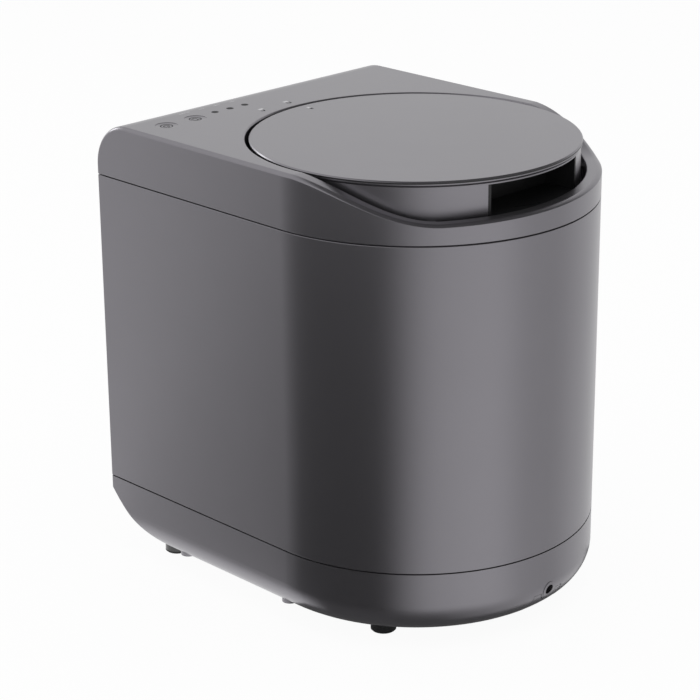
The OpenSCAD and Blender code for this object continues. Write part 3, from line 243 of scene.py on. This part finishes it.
class Build:
    """Collects points and faces; equal points are joined when the mesh is made."""

    def __init__(self):
        self.v, self.f = [], []

    def face(self, pts):
        base = len(self.v)
        self.v += [tuple(p) for p in pts]
        self.f.append(tuple(range(base, base + len(pts))))

    def grid(self, rows, wrap=False, close=False):
        """Quads between rows of points; wrap joins last row and first, close each row's ends."""
        n = len(rows[0])
        base = len(self.v)
        for row in rows:
            self.v += [tuple(p) for p in row]
        for i in range(len(rows) if wrap else len(rows) - 1):
            j = (i + 1) % len(rows)
            for k in range(n if close else n - 1):
                m = (k + 1) % n
                self.f.append((base + i * n + k, base + i * n + m,
                               base + j * n + m, base + j * n + k))

    def band(self, loop1, loop2, ks):
        """A quad between two closed loops for each k, from point k to the next."""
        for k in ks:
            m = (k + 1) % len(loop1)
            self.face([loop1[k], loop1[m], loop2[m], loop2[k]])

    def flat(self, outline, holes, place):
        """Triangles between an outline and its holes; place puts a plane point in space."""
        pts, edges = [], []
        for loop in (outline, *holes):
            k = len(pts)
            pts += [Vector(p) for p in loop]
            edges += [(k + i, k + (i + 1) % len(loop)) for i in range(len(loop))]
        vs, _, fs, *_ = delaunay_2d_cdt(pts, edges, [], 0, 1e-6)
        base = len(self.v)
        self.v += [place(p.x, p.y) for p in vs]
        for f in fs:
            cx = sum(vs[i].x for i in f) / len(f)
            cy = sum(vs[i].y for i in f) / len(f)
            if inside(cx, cy, outline) and not any(inside(cx, cy, h) for h in holes):
                self.f.append(tuple(base + i for i in f))

    def revolve(self, profile, n, cx=0.0, cy=YC, a0=0.0, a1=360.0, close=False):
        """Turns (radius, height) pairs about an upright axis; close joins the profile's ends."""
        full = abs(a1 - a0) >= 360
        rows = []
        for i in range(n if full else n + 1):
            t = math.radians(a0 + (a1 - a0) * i / n)
            rows.append([(cx + r * math.cos(t), cy + r * math.sin(t), z) for r, z in profile])
        self.grid(rows, wrap=full, close=close)
        if not full and close:
            self.face(rows[0])
            self.face(rows[-1])

    def box(self, x0, x1, y0, y1, z0, z1):
        c = [(x0, y0), (x1, y0), (x1, y1), (x0, y1)]
        self.grid([[(x, y, z) for z in (z0, z1)] for x, y in c], wrap=True)
        self.face([(x, y, z0) for x, y in c])
        self.face([(x, y, z1) for x, y in c])

    def make(self, name, mat, body, nodes=(), slot=None, sharp=SHARP):
        """The piece itself, riding on its body, and in place of its CAD nodes if it has any."""
        me = bpy.data.meshes.new(name)
        me.from_pydata([(x * MM, y * MM, z * MM) for x, y, z in self.v], [], self.f)
        bm = bmesh.new()
        bm.from_mesh(me)
        bmesh.ops.remove_doubles(bm, verts=bm.verts, dist=WELD)
        bmesh.ops.dissolve_degenerate(bm, dist=WELD / 2, edges=bm.edges)
        bmesh.ops.recalc_face_normals(bm, faces=bm.faces)
        bm.to_mesh(me)
        bm.free()
        for p in me.polygons:
            p.use_smooth = True
        me.set_sharp_from_angle(angle=math.radians(sharp))
        me.materials.append(mat)
        o = bpy.data.objects.new(name, me)
        bpy.context.scene.collection.objects.link(o)
        m = o.modifiers.new("normals", "WEIGHTED_NORMAL")
        m.keep_sharp = True
        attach(o, body)
        if nodes:
            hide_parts(*nodes)
        return o


# ---- top cover ----

COVER_Z = Z_UP + GAP / 2  # the cover's lower edge
TONGUE_IN, TONGUE_OUT = WALL + 2.3, WALL + 0.3  # insets of the two faces of the tongue below it
TONGUE_TOP, TONGUE_LOW = COVER_Z + 3.6, Z_UP - 4.0
LIP_R = 1.5  # rounding at the lid's opening
RIM_GROWS = 0.9  # where the scoop is deepest, the rim's edge is this much wider and less high
FRONT_STEPS = 20

# scoop in the rim: angles from the rear where it starts to rise and where it ends
SCOOP_KEYS, SCOOP_FAR = (38.0, 89.0), (50.0, 94.0)
SCOOP_CUT = -90.0  # on the far side it is cut off here, where the round end stops
SCOOP_DEEP, SCOOP_TILT = 27.0, 5.0  # its depth on the keys' side, and how much less at the far one
SCOOP_OVER = 0.4  # its curve ends this far above the top, so it meets the top at an angle

# openings in the panel: x, y, radius, rounding of the edge, points round it
HOLES = [(x, y, 8.38, 0.05, 48) for x, y in KEYS] + [(x, y, 2.15, 0.12, 24) for x, y in LEDS]

# pairs of stops for the lid's lugs: angles of the lugs; half a lug, its turn, a stop and the gap
STOPS_AT = (30, 150, 270)
LUG_DEG, TURN_DEG, STOP_DEG, STOP_GAP = 5, 12, 3, 0.4
STOP_IN, STOP_OUT, STOP_TOP = 120.1, OPEN_R - 0.02, 319.9


def scoop(a):
    """Height of the rim and its share of the full depth, at an angle from the rear to the keys."""
    if a >= SCOOP_KEYS[1] or a <= SCOOP_CUT:
        return H, 0.0
    flat, end = SCOOP_KEYS if a > 0 else SCOOP_FAR
    past = (abs(a) - flat) / (end - flat)
    share = 1.0 if past <= 0 else (1 + math.cos(math.pi * past)) / 2
    tilt = max(0.0, SCOOP_KEYS[0] - a) / (SCOOP_KEYS[0] + SCOOP_FAR[0])
    deep = SCOOP_DEEP - SCOOP_TILT * tilt
    return min(H, H + SCOOP_OVER - (deep + SCOOP_OVER) * share), share


def collar(z):
    """Profile from the rim at z, down the lid's opening, round the deck and up again outside."""
    out = OPEN_R + WALL
    lip = arc(OPEN_R + LIP_R, z - LIP_R, LIP_R, 90, 180, 6)
    return lip + [(OPEN_R, DECK_Z), (NECK_R, DECK_Z), (NECK_R, DECK_Z - DECK_T),
                  (out, DECK_Z - DECK_T), (out, z - WALL)]


def cover_front(b, i, edges):
    """Wall and bend in front of the lid's axis, set in by i; edges are its (inset, drop) pairs."""
    r, f = R - i, FRONT_R - i
    low = TONGUE_TOP if i else COVER_Z + EASE
    # y, z and tilt of the surface along the side's outline
    path = [(YC, H - i, 0.0), (YF + FRONT_R, H - i, 0.0)]
    for k in range(1, FRONT_STEPS + 1):
        t = math.radians(90.0 * k / FRONT_STEPS)
        path.append((YF + FRONT_R - f * math.sin(t), H - FRONT_R + f * math.cos(t), t))
    path.append((YF + i, low, math.pi / 2))
    rows = [[(r - u, y + d * math.sin(t), z - d * math.cos(t)) for u, d in edges]
            for y, z, t in path]
    side = [row[0] for row in rows] + [(r, YC, low)]
    for m in (1, -1):
        b.grid([[(m * x, y, z) for x, y, z in row] for row in rows])
        b.face([(m * x, y, z) for x, y, z in side])
    for row1, row2 in zip(rows[1:], rows[2:]):
        (x1, y1, z1), (x2, y2, z2) = row1[-1], row2[-1]
        b.face([(x1, y1, z1), (x2, y2, z2), (-x2, y2, z2), (-x1, y1, z1)])


def cover_panel(b, r_out, r_lid, z, outside):
    """Flat top in front of the lid's axis, with the openings of keys and lenses."""
    outline = [(r_out, YC), (r_out, YF + FRONT_R), (-r_out, YF + FRONT_R), (-r_out, YC)]
    outline += arc(0.0, YC, r_lid, 180.0, 360.0, HALF)
    holes = [ring(x, y, r + ease if outside else r, n) for x, y, r, ease, n in HOLES]
    b.flat(outline, holes, lambda x, y: (x, y, z))


def cover_skin():
    """Cover with its scooped rim, soft edges, collar, deck, tongue and stops, as one skin."""
    b = Build()
    foot = [(WALL, TONGUE_TOP), (TONGUE_IN, TONGUE_TOP), (TONGUE_IN, TONGUE_LOW),
            (TONGUE_OUT, TONGUE_LOW), (TONGUE_OUT, COVER_Z)]
    foot += [(u, COVER_Z + w) for u, w in EASED]
    # round end
    rows = []
    for i in range(HALF + 1):
        a = 180.0 * i / HALF
        t = math.radians(a)
        z, share = scoop(90.0 - a)
        rim = edge(EDGE_A + RIM_GROWS * share, EDGE_B - RIM_GROWS * share)
        prof = [(R - u, w) for u, w in foot] + [(R - u, z - w) for u, w in rim]
        prof += collar(z) + [(R - WALL, z - WALL)]
        rows.append([(r * math.cos(t), YC + r * math.sin(t), h) for r, h in prof])
    b.grid(rows, close=True)
    # in front of the lid's axis: outside, then inside
    cover_front(b, 0, edge())
    cover_front(b, WALL, [(0.0, 0.0)])
    cover_panel(b, R - EDGE_A, OPEN_R + LIP_R, H, True)
    cover_panel(b, R - WALL, OPEN_R + WALL, H - WALL, False)
    for x, y, r, ease, n in HOLES:
        b.revolve(arc(r + ease, H - ease, ease, 90, 180, 3) + [(r, H - WALL)], n, x, y)
    b.revolve(collar(H), HALF, a0=180, a1=360)
    # lower edge and tongue along the straight sides and the flat face
    loops = [[(x, y, z) for x, y in plan(u)] for u, z in foot]
    n = len(loops[0])
    for loop1, loop2 in zip(loops, loops[1:]):
        b.band(loop1, loop2, [*range(EDGE_STEPS + 1), *range(n - EDGE_STEPS - 2, n)])
    stop = [(STOP_IN, DECK_Z), (STOP_OUT, DECK_Z), (STOP_OUT, STOP_TOP), (STOP_IN, STOP_TOP)]
    for a in STOPS_AT:
        for a0 in (a - LUG_DEG - STOP_GAP - STOP_DEG, a + LUG_DEG + TURN_DEG + STOP_GAP):
            b.revolve(stop, STOP_DEG, a0=a0, a1=a0 + STOP_DEG, close=True)
    return b.make("cover_skin", M["paint"], "casing", ["top_cover"], "dark_cover")


# ---- main shell ----

DRAWER_X, DRAWER_Z = 58.0, (112.0, 192.0)  # drawer's opening: half its width, and its heights
# lugs for screws inside the side walls: x, y and z of each, half a lug's width, its height
SHELL_LUGS = ((119.0, -95.5, 65.2), (119.0, 19.5, 65.2),
              (120.0, -146.5, 294.5), (120.0, -62.5, 294.5))
LUG_HALF, LUG_H = 7.0, 6.0


def shell_skin():
    """Wall between the two seams with eased edges, lugs and the drawer's opening."""
    b = Build()
    zb, zt = Z_LO + GAP / 2, Z_UP - GAP / 2
    prof = [(WALL, zb)] + [(u, zb + w) for u, w in EASED]
    prof += [(u, zt - w) for u, w in reversed(EASED)] + [(WALL, zt)]
    loops = [[(x, y, z) for x, y in plan(u)] for u, z in prof]
    n = len(loops[0])
    pairs = list(zip(loops, loops[1:] + loops[:1]))
    # the outer and the inner wall are left open on the flat face, and closed round the drawer below
    walls = {len(EASED): YF, len(loops) - 1: YF + WALL}
    for i, (loop1, loop2) in enumerate(pairs):
        b.band(loop1, loop2, range(n - 1 if i in walls else n))
    hole = [(-DRAWER_X, DRAWER_Z[0]), (DRAWER_X, DRAWER_Z[0]),
            (DRAWER_X, DRAWER_Z[1]), (-DRAWER_X, DRAWER_Z[1])]
    for i, y in walls.items():
        (x, _, z1), (_, _, z2) = (loop[0] for loop in pairs[i])
        z1, z2 = sorted((z1, z2))
        b.flat([(-x, z1), (x, z1), (x, z2), (-x, z2)], [hole], lambda u, w, y=y: (u, y, w))
    b.grid([[(x, y, z) for y in (YF, YF + WALL)] for x, z in hole], wrap=True)
    for m in (1, -1):
        for x, y, z in SHELL_LUGS:
            x0, x1 = sorted((m * (x - LUG_HALF), m * (R - WALL)))
            b.box(x0, x1, y - LUG_HALF, y + LUG_HALF, z, z + LUG_H)
    return b.make("shell_skin", M["paint"], "casing", ["main_shell"], "grey_shell")


# ---- lid ----

PLATE_T, PLATE_FOOT = 2.0, 0.35  # thickness, and rounding of the lower edge
PLATE_BEVEL = ((0.0, 0.95), (0.1, 0.78), (0.78, 0.1), (1.0, 0.0))  # (inset, drop) pairs
PLATE_FLAT = 3.0  # inset where the flat middle starts
PLATE_SHADE_FROM = 0.94  # the side is painted dark, as shade, from this far below the top
PLATE_SHARP, PLATE_STEPS = 15, 240


def lid_plate_skin():
    """Round plate with a bevelled rim; its side is dark, as in the photograph."""
    foot = arc(LID_R - PLATE_FOOT, H - PLATE_T + PLATE_FOOT, PLATE_FOOT, -90, 0, 2)
    bevel = [(LID_R - u, H - w) for u, w in PLATE_BEVEL]
    b = Build()
    top = [(LID_R - PLATE_FLAT, H), (0.0, H)]
    b.revolve([(0.0, H - PLATE_T)] + foot + bevel + top, PLATE_STEPS)
    o = b.make("lid_plate_skin", M["paint"], "lid", ["lid_plate"], "silver_panel", PLATE_SHARP)
    # the side takes black plastic as painted shade: the dark line under the plate's edge
    o.data.materials.append(M["black_plastic"])
    for p in o.data.polygons:
        if p.center.z < (H - PLATE_SHADE_FROM) * MM:
            p.material_index = 1


# ---- printed marks, and other flat marks ----

MARK_T, MARK_IN = 0.05, 0.01  # a mark's thickness on the top, and how much of it is in the paint
ICON_T, ICON_IN = 0.06, 0.02  # the same on a key's dished top
KEY_DROP, DISH_R = 0.8, 60.0  # the dish's middle below the top, and its radius
ICON_RING, ICON_LINE = 4.5, 0.8
POWER_R, POWER_GAP, POWER_STEM = 2.2, 35, (0.6, 3.1)  # arc, half its gap in degrees, stem from to
ARROW_R, ARROW_DEG = 2.3, (15, 150)
BARB, BARB_WAYS, BARB_LINE = 1.3, (-2.45, -0.35), 0.7  # arrow heads: length, angles in radians

BARS = ((75.9, 10.3), (59.0, 5.4), (43.8, 6.1), (28.0, 5.0))  # x and length
BARS_Y, BARS_LINE = -134.0, 0.7
LOCKS_R, LOCKS = 135.9, ((-90, 0.0), (-78, 1.6))  # angle from +X, and how far the bow is swung out
LOCK_X, LOCK_DOWN, LOCK_LINE = 2.2, 1.6, 2.9  # the lock's body: half its width, its middle, height
BOW_R, BOW_FROM, BOW_UP, BOW_LINE = 1.6, 0.2, 2.0, 1.0
LED_RING, LED_LINE = 2.55, 0.5
DASH, DASH_END, DASH_LINE = (-80.4, -77.0), (-76.8, -74.0), 2.4  # y from to, at the lid's rim
POCKET_Z, POCKET_WIDTH, DOT_WIDTH = 317.99, 0.8, 1.1  # just in the pocket's floor
POCKET_LINE = ((9.5, 138.2), (5.6, 139.8), (0.0, 142.2), (-5.2, 144.0))
POCKET_DOT = (-9.2, 144.4, 0.6)  # x, y, radius


def strip(b, pts, width, z, thick, closed=False):
    """Flat printed line along points; z gives the height under it at x and y."""
    n = len(pts)
    rows = []
    for i, (x, y) in enumerate(pts):
        x0, y0 = pts[(i - 1) % n] if closed or i else pts[i]
        x1, y1 = pts[(i + 1) % n] if closed or i < n - 1 else pts[i]
        d = math.hypot(x1 - x0, y1 - y0) or 1.0
        nx, ny = -(y1 - y0) / d * width / 2, (x1 - x0) / d * width / 2
        left, right = (x + nx, y + ny), (x - nx, y - ny)
        rows.append([(*left, z(*left)), (*left, z(*left) + thick),
                     (*right, z(*right) + thick), (*right, z(*right))])
    b.grid(rows, wrap=closed, close=True)
    if not closed:
        b.face(rows[0])
        b.face(rows[-1])


def mark(b, pts, width, closed=False):
    """Line printed on the top."""
    strip(b, pts, width, lambda x, y: H - MARK_IN, MARK_T, closed)


def dish(cx, cy):
    """Height under an icon on a key's dished top, as a function of x and y."""
    def height(x, y):
        fall = math.sqrt(DISH_R ** 2 - (x - cx) ** 2 - (y - cy) ** 2)
        return H - KEY_DROP + DISH_R - fall - ICON_IN
    return height


def key_icons():
    """Generic power sign in a ring on one key, two bent arrows in a ring on the other."""
    (x, y), (u, v) = KEYS

    def line(pts, width=ICON_LINE, closed=False):
        strip(b, pts, width, z, ICON_T, closed)

    b, z = Build(), dish(x, y)
    line(ring(x, y, ICON_RING, 48), closed=True)
    line(arc(x, y, POWER_R, 90 + POWER_GAP, 450 - POWER_GAP, 28))
    line([(x, y + d) for d in POWER_STEM])
    b.make("power_icon", M["print_dark"], "power_button", slot="silver_panel")
    b, z = Build(), dish(u, v)
    line(ring(u, v, ICON_RING, 48), closed=True)
    for a in (0, 180):
        curve = arc(u, v, ARROW_R, a + ARROW_DEG[0], a + ARROW_DEG[1], 14)
        line(curve)
        tip, t = curve[-1], math.radians(a + ARROW_DEG[1])
        for k in BARB_WAYS:
            end = (tip[0] + BARB * math.cos(t + k), tip[1] + BARB * math.sin(t + k))
            line([tip, end], BARB_LINE)
    b.make("mode_icon", M["print_dark"], "mode_button", slot="silver_panel")


def panel_marks():
    """Plain bars in place of small print, lock signs, rings round the lenses, dash on the lid."""
    locks = []
    for a, swing in LOCKS:
        t = math.radians(a)
        locks.append((LOCKS_R * math.cos(t), YC + LOCKS_R * math.sin(t), swing))
    b = Build()
    for x, w in BARS:
        mark(b, [(x - w / 2, BARS_Y), (x + w / 2, BARS_Y)], BARS_LINE)
    for x, y, _ in locks:
        mark(b, [(x - LOCK_X, y - LOCK_DOWN), (x + LOCK_X, y - LOCK_DOWN)], LOCK_LINE)
    b.make("panel_bars", M["print_light"], "casing", slot="dark_cover")
    b = Build()
    for x, y, swing in locks:
        x += swing
        pts = [(x - BOW_R, y + BOW_FROM)] + arc(x, y + BOW_UP, BOW_R, 180, 0, 12)
        mark(b, pts + ([] if swing else [(x + BOW_R, y + BOW_FROM)]), BOW_LINE)
    # dark rings round the lenses, which widen each lens's dark spot
    for x, y in LEDS:
        mark(b, ring(x, y, LED_RING, 32), LED_LINE, closed=True)
    b.make("lock_signs", M["print_dark"], "casing", slot="dark_cover")
    for name, mat, ys in (("lid_dash", "print_light", DASH),
                          ("lid_dash_end", "print_dark", DASH_END)):
        b = Build()
        mark(b, [(0.0, y) for y in ys], DASH_LINE)
        b.make(name, M[mat], "lid", slot="silver_panel")
    # flat mark, darker and less glossy than the pocket's floor, in place of the arrow and dot
    # debossed in it
    b = Build()
    strip(b, POCKET_LINE, POCKET_WIDTH, lambda x, y: POCKET_Z, ICON_T)
    strip(b, ring(*POCKET_DOT, 16), DOT_WIDTH, lambda x, y: POCKET_Z, ICON_T, closed=True)
    b.make("pocket_arrow", M["smoked"], "lid", slot="black_plastic")


cover_skin()
shell_skin()
lid_plate_skin()
key_icons()
panel_marks()


# ---- stage ----

FLOOR_SIZE, FLOOR_COLOUR, FLOOR_ROUGH = 14, 0.91, 0.9
FLOOR_GLOW = 0.95  # share of plain white in what the camera and glossy surfaces see of it

CAMERA_WAY = 45.5  # azimuth of the camera, from +X
CARD_Z, UNDER_Z = 0.0003, 0.0002  # heights in m of the card beside the casing and under it
CARD_STEPS = (0, 15, 30, 45, 60, 75, 90, 105, 120, 2600)  # distances from the wall
CARD_FADE = (4, 60)  # distances between which a row goes from its near brightness to its far one
# far brightness of the card, where the flat side at y, and the round end at an angle, see it:
# painted light and dark bands that the walls reflect
FLAT = [(-168.5, 0.75), (-100.0, 0.58), (-30.0, 0.46), (20.0, 0.42), (33.5, 0.39)]
ROUND = [(0.0, 0.41), (4.0, 0.04), (33.5, 0.02), (36.5, 0.12), (39.5, 0.30), (43.0, 0.56),
         (49.0, 0.88), (55.0, 0.96), (62.0, 1.04), (71.0, 1.08), (80.0, 0.78), (93.0, 0.70),
         (102.0, 0.88), (120.0, 0.92)]
FLAT_NEAR, ROUND_NEAR = 1.2, 0.12  # near brightness: a painted bright reflection by the flat side, and by the round end a painted reflection of the casing's shadow
NEAR_FALLS, NEAR_RISES, NEAR_RISE = (0.0, 12.0), (52.0, 92.0), 0.8  # round end: angles, amount
FLAT_ROWS, ROUND_ROWS, ROUND_STEP = 20, 60, 2.0

PANEL_AT = (-0.25, 0.433, 0.866)  # direction of the middle of the world's dark panel
# cosines from its middle where it starts and is full, and the two strengths
PANEL = {"From Min": 0.50, "From Max": 0.72, "To Min": 0.93, "To Max": 0.10}
LIGHTS_AIM = Vector((0, 0, 0.2))
# name, azimuth, elevation, distance, size, power, whether glossy surfaces see it
LIGHTS = [("key", -86, 20, 2.2, 0.55, 4.5, True), ("fill", 100, 75, 2.4, 2.4, 34.0, False)]


def floor():
    """Pale floor; the camera and glossy surfaces see it nearly white, with part of the shadow."""
    bpy.ops.mesh.primitive_plane_add(size=FLOOR_SIZE, location=(0, 0, 0))
    o = bpy.context.object
    o.name = "floor"
    mat, nt, bsdf = new_mat("floor")
    bsdf.inputs["Base Color"].default_value = (FLOOR_COLOUR, FLOOR_COLOUR, FLOOR_COLOUR, 1)
    bsdf.inputs["Roughness"].default_value = FLOOR_ROUGH
    path = add(nt, "ShaderNodeLightPath")
    seen = add(nt, "ShaderNodeMath", operation="MAXIMUM")
    share = add(nt, "ShaderNodeMath", operation="MULTIPLY")
    glow = add(nt, "ShaderNodeEmission")
    mix = add(nt, "ShaderNodeMixShader")
    nt.links.new(path.outputs["Is Camera Ray"], seen.inputs[0])
    nt.links.new(path.outputs["Is Glossy Ray"], seen.inputs[1])
    nt.links.new(seen.outputs[0], share.inputs[0])
    share.inputs[1].default_value = FLOOR_GLOW
    nt.links.new(share.outputs[0], mix.inputs[0])
    nt.links.new(bsdf.outputs[0], mix.inputs[1])
    nt.links.new(glow.outputs[0], mix.inputs[2])
    nt.links.new(mix.outputs[0], nt.nodes["Material Output"].inputs["Surface"])
    mat.cycles.emission_sampling = "NONE"
    o.data.materials.append(mat)


def between(v, start, end):
    """How far v is from start to end, from 0 to 1."""
    return min(1.0, max(0.0, (v - start) / (end - start)))


def level_at(table, v):
    """Brightness at v on straight lines between a table's steps."""
    (a0, s0), (a1, s1) = next((p, q) for p, q in zip(table, table[1:]) if p[0] <= v <= q[0])
    return s0 + (s1 - s0) * (v - a0) / (a1 - a0)


def mirror_card():
    """Glowing card flat on the floor, shaded point by point, which paints the reflections in the
    walls; only glossy surfaces see it.

    Each row of points runs where one upright line of the wall sees the floor, so that line keeps
    one brightness. A wall that faces azimuth t sends the camera's line off at 2 t - CAMERA_WAY.
    """
    rows = []
    for i in range(FLAT_ROWS + 1):
        y = YF + (YC - YF) * i / FLAT_ROWS
        rows.append(((R, y), -CAMERA_WAY, FLAT_NEAR, level_at(FLAT, y)))
    for i in range(1, ROUND_ROWS + 1):
        t = ROUND_STEP * i
        near = FLAT_NEAR + (ROUND_NEAR - FLAT_NEAR) * between(t, *NEAR_FALLS)
        near += NEAR_RISE * between(t, *NEAR_RISES)
        at = (R * math.cos(math.radians(t)), YC + R * math.sin(math.radians(t)))
        rows.append((at, 2 * t - CAMERA_WAY, near, level_at(ROUND, t)))
    pts, level = [], []
    for (x, y), way, near, far in rows:
        c, d = math.cos(math.radians(way)), math.sin(math.radians(way))
        for k in CARD_STEPS:
            u = between(k, *CARD_FADE)
            pts.append(((x + k * c) * MM, (y + k * d) * MM, CARD_Z))
            level.append(near + (far - near) * u * u * (3 - 2 * u))
    n = len(CARD_STEPS)
    faces = [(i * n + k, i * n + k + 1, (i + 1) * n + k + 1, (i + 1) * n + k)
             for i in range(len(rows) - 1) for k in range(n - 1)]
    # under the casing: bright where the flat side's lower edge sees it, dark where the round end's,
    # which paints the reflection of the casing's shadow there
    parting = [(R, YC), (R - (YC - YF), YF)]
    bright = parting + [(R, YF)]
    dark = parting[:1] + [(R, YC + R), (-R, YC + R), (-R, YF)] + parting[1:]
    for shape, v in ((bright, FLAT_NEAR), (dark, ROUND_NEAR)):
        faces.append(tuple(range(len(pts), len(pts) + len(shape))))
        pts += [(x * MM, y * MM, UNDER_Z) for x, y in shape]
        level += [v] * len(shape)
    me = bpy.data.meshes.new("card")
    me.from_pydata(pts, [], faces)
    shade = me.attributes.new("shade", "FLOAT", "POINT")
    for i, v in enumerate(level):
        shade.data[i].value = v
    o = bpy.data.objects.new("card", me)
    bpy.context.scene.collection.objects.link(o)
    mat, nt, bsdf = new_mat("card")
    glow = add(nt, "ShaderNodeEmission")
    read = add(nt, "ShaderNodeAttribute", attribute_name="shade")
    nt.links.new(read.outputs["Fac"], glow.inputs["Strength"])
    nt.links.new(glow.outputs[0], nt.nodes["Material Output"].inputs["Surface"])
    nt.nodes.remove(bsdf)
    mat.cycles.emission_sampling = "NONE"
    me.materials.append(mat)
    for kind in ("camera", "diffuse", "shadow", "transmission", "volume_scatter"):
        setattr(o, "visible_" + kind, False)


def studio():
    """White room with even light all round and a dark panel above the back."""
    world = bpy.data.worlds.new("studio")
    bpy.context.scene.world = world
    world.use_nodes = True
    nt = world.node_tree
    back = nt.nodes["Background"]
    back.inputs["Color"].default_value = (1, 1, 1, 1)
    way = add(nt, "ShaderNodeTexCoord").outputs["Generated"]
    towards = add(nt, "ShaderNodeVectorMath", operation="DOT_PRODUCT")
    towards.inputs[1].default_value = PANEL_AT
    panel = add(nt, "ShaderNodeMapRange", interpolation_type="SMOOTHSTEP")
    for k, v in PANEL.items():
        panel.inputs[k].default_value = v
    nt.links.new(way, towards.inputs[0])
    nt.links.new(towards.outputs["Value"], panel.inputs["Value"])
    nt.links.new(panel.outputs["Result"], back.inputs["Strength"])


def softbox(name, azimuth, elevation, distance, size, watts, glossy):
    """Square lamp that the camera doesn't see."""
    data = bpy.data.lights.new(name, "AREA")
    data.shape = "SQUARE"
    data.size = size
    data.energy = watts
    o = bpy.data.objects.new(name, data)
    bpy.context.scene.collection.objects.link(o)
    t, e = math.radians(azimuth), math.radians(elevation)
    way = Vector((math.cos(t) * math.cos(e), math.sin(t) * math.cos(e), math.sin(e)))
    o.location = way * distance + LIGHTS_AIM
    o.rotation_euler = (-way).to_track_quat("-Z", "Y").to_euler()
    o.visible_camera = False
    o.visible_glossy = glossy


floor()
mirror_card()
studio()
for item in LIGHTS:
    softbox(*item)


# ---- camera, from the fit to the photograph ----

AZ, EL, ROLL = 135.53, 20.53, -0.45  # AZ is the azimuth of the camera's right-hand side
CAM_AT = Vector((1.1800, 1.1661, 0.7943))
FOCAL_PX, IMAGE_PX, SENSOR = 2331.98, 700, 36.0

cam_data = bpy.data.cameras.new("camera")
cam_data.sensor_width = SENSOR
cam_data.lens = FOCAL_PX / IMAGE_PX * SENSOR
cam = bpy.data.objects.new("camera", cam_data)
bpy.context.scene.collection.objects.link(cam)
a, e, r = (math.radians(v) for v in (AZ, EL, ROLL))
level_right = Vector((math.cos(a), math.sin(a), 0))
back = Vector((math.sin(a) * math.cos(e), -math.cos(a) * math.cos(e), math.sin(e)))
right = level_right * math.cos(r) + back.cross(level_right) * math.sin(r)
up = back.cross(right)
cam.matrix_world = Matrix((
    (right.x, up.x, back.x, CAM_AT.x),
    (right.y, up.y, back.y, CAM_AT.y),
    (right.z, up.z, back.z, CAM_AT.z),
    (0, 0, 0, 1),
))
bpy.context.scene.camera = cam
bpy.context.scene.view_settings.view_transform = "Standard"
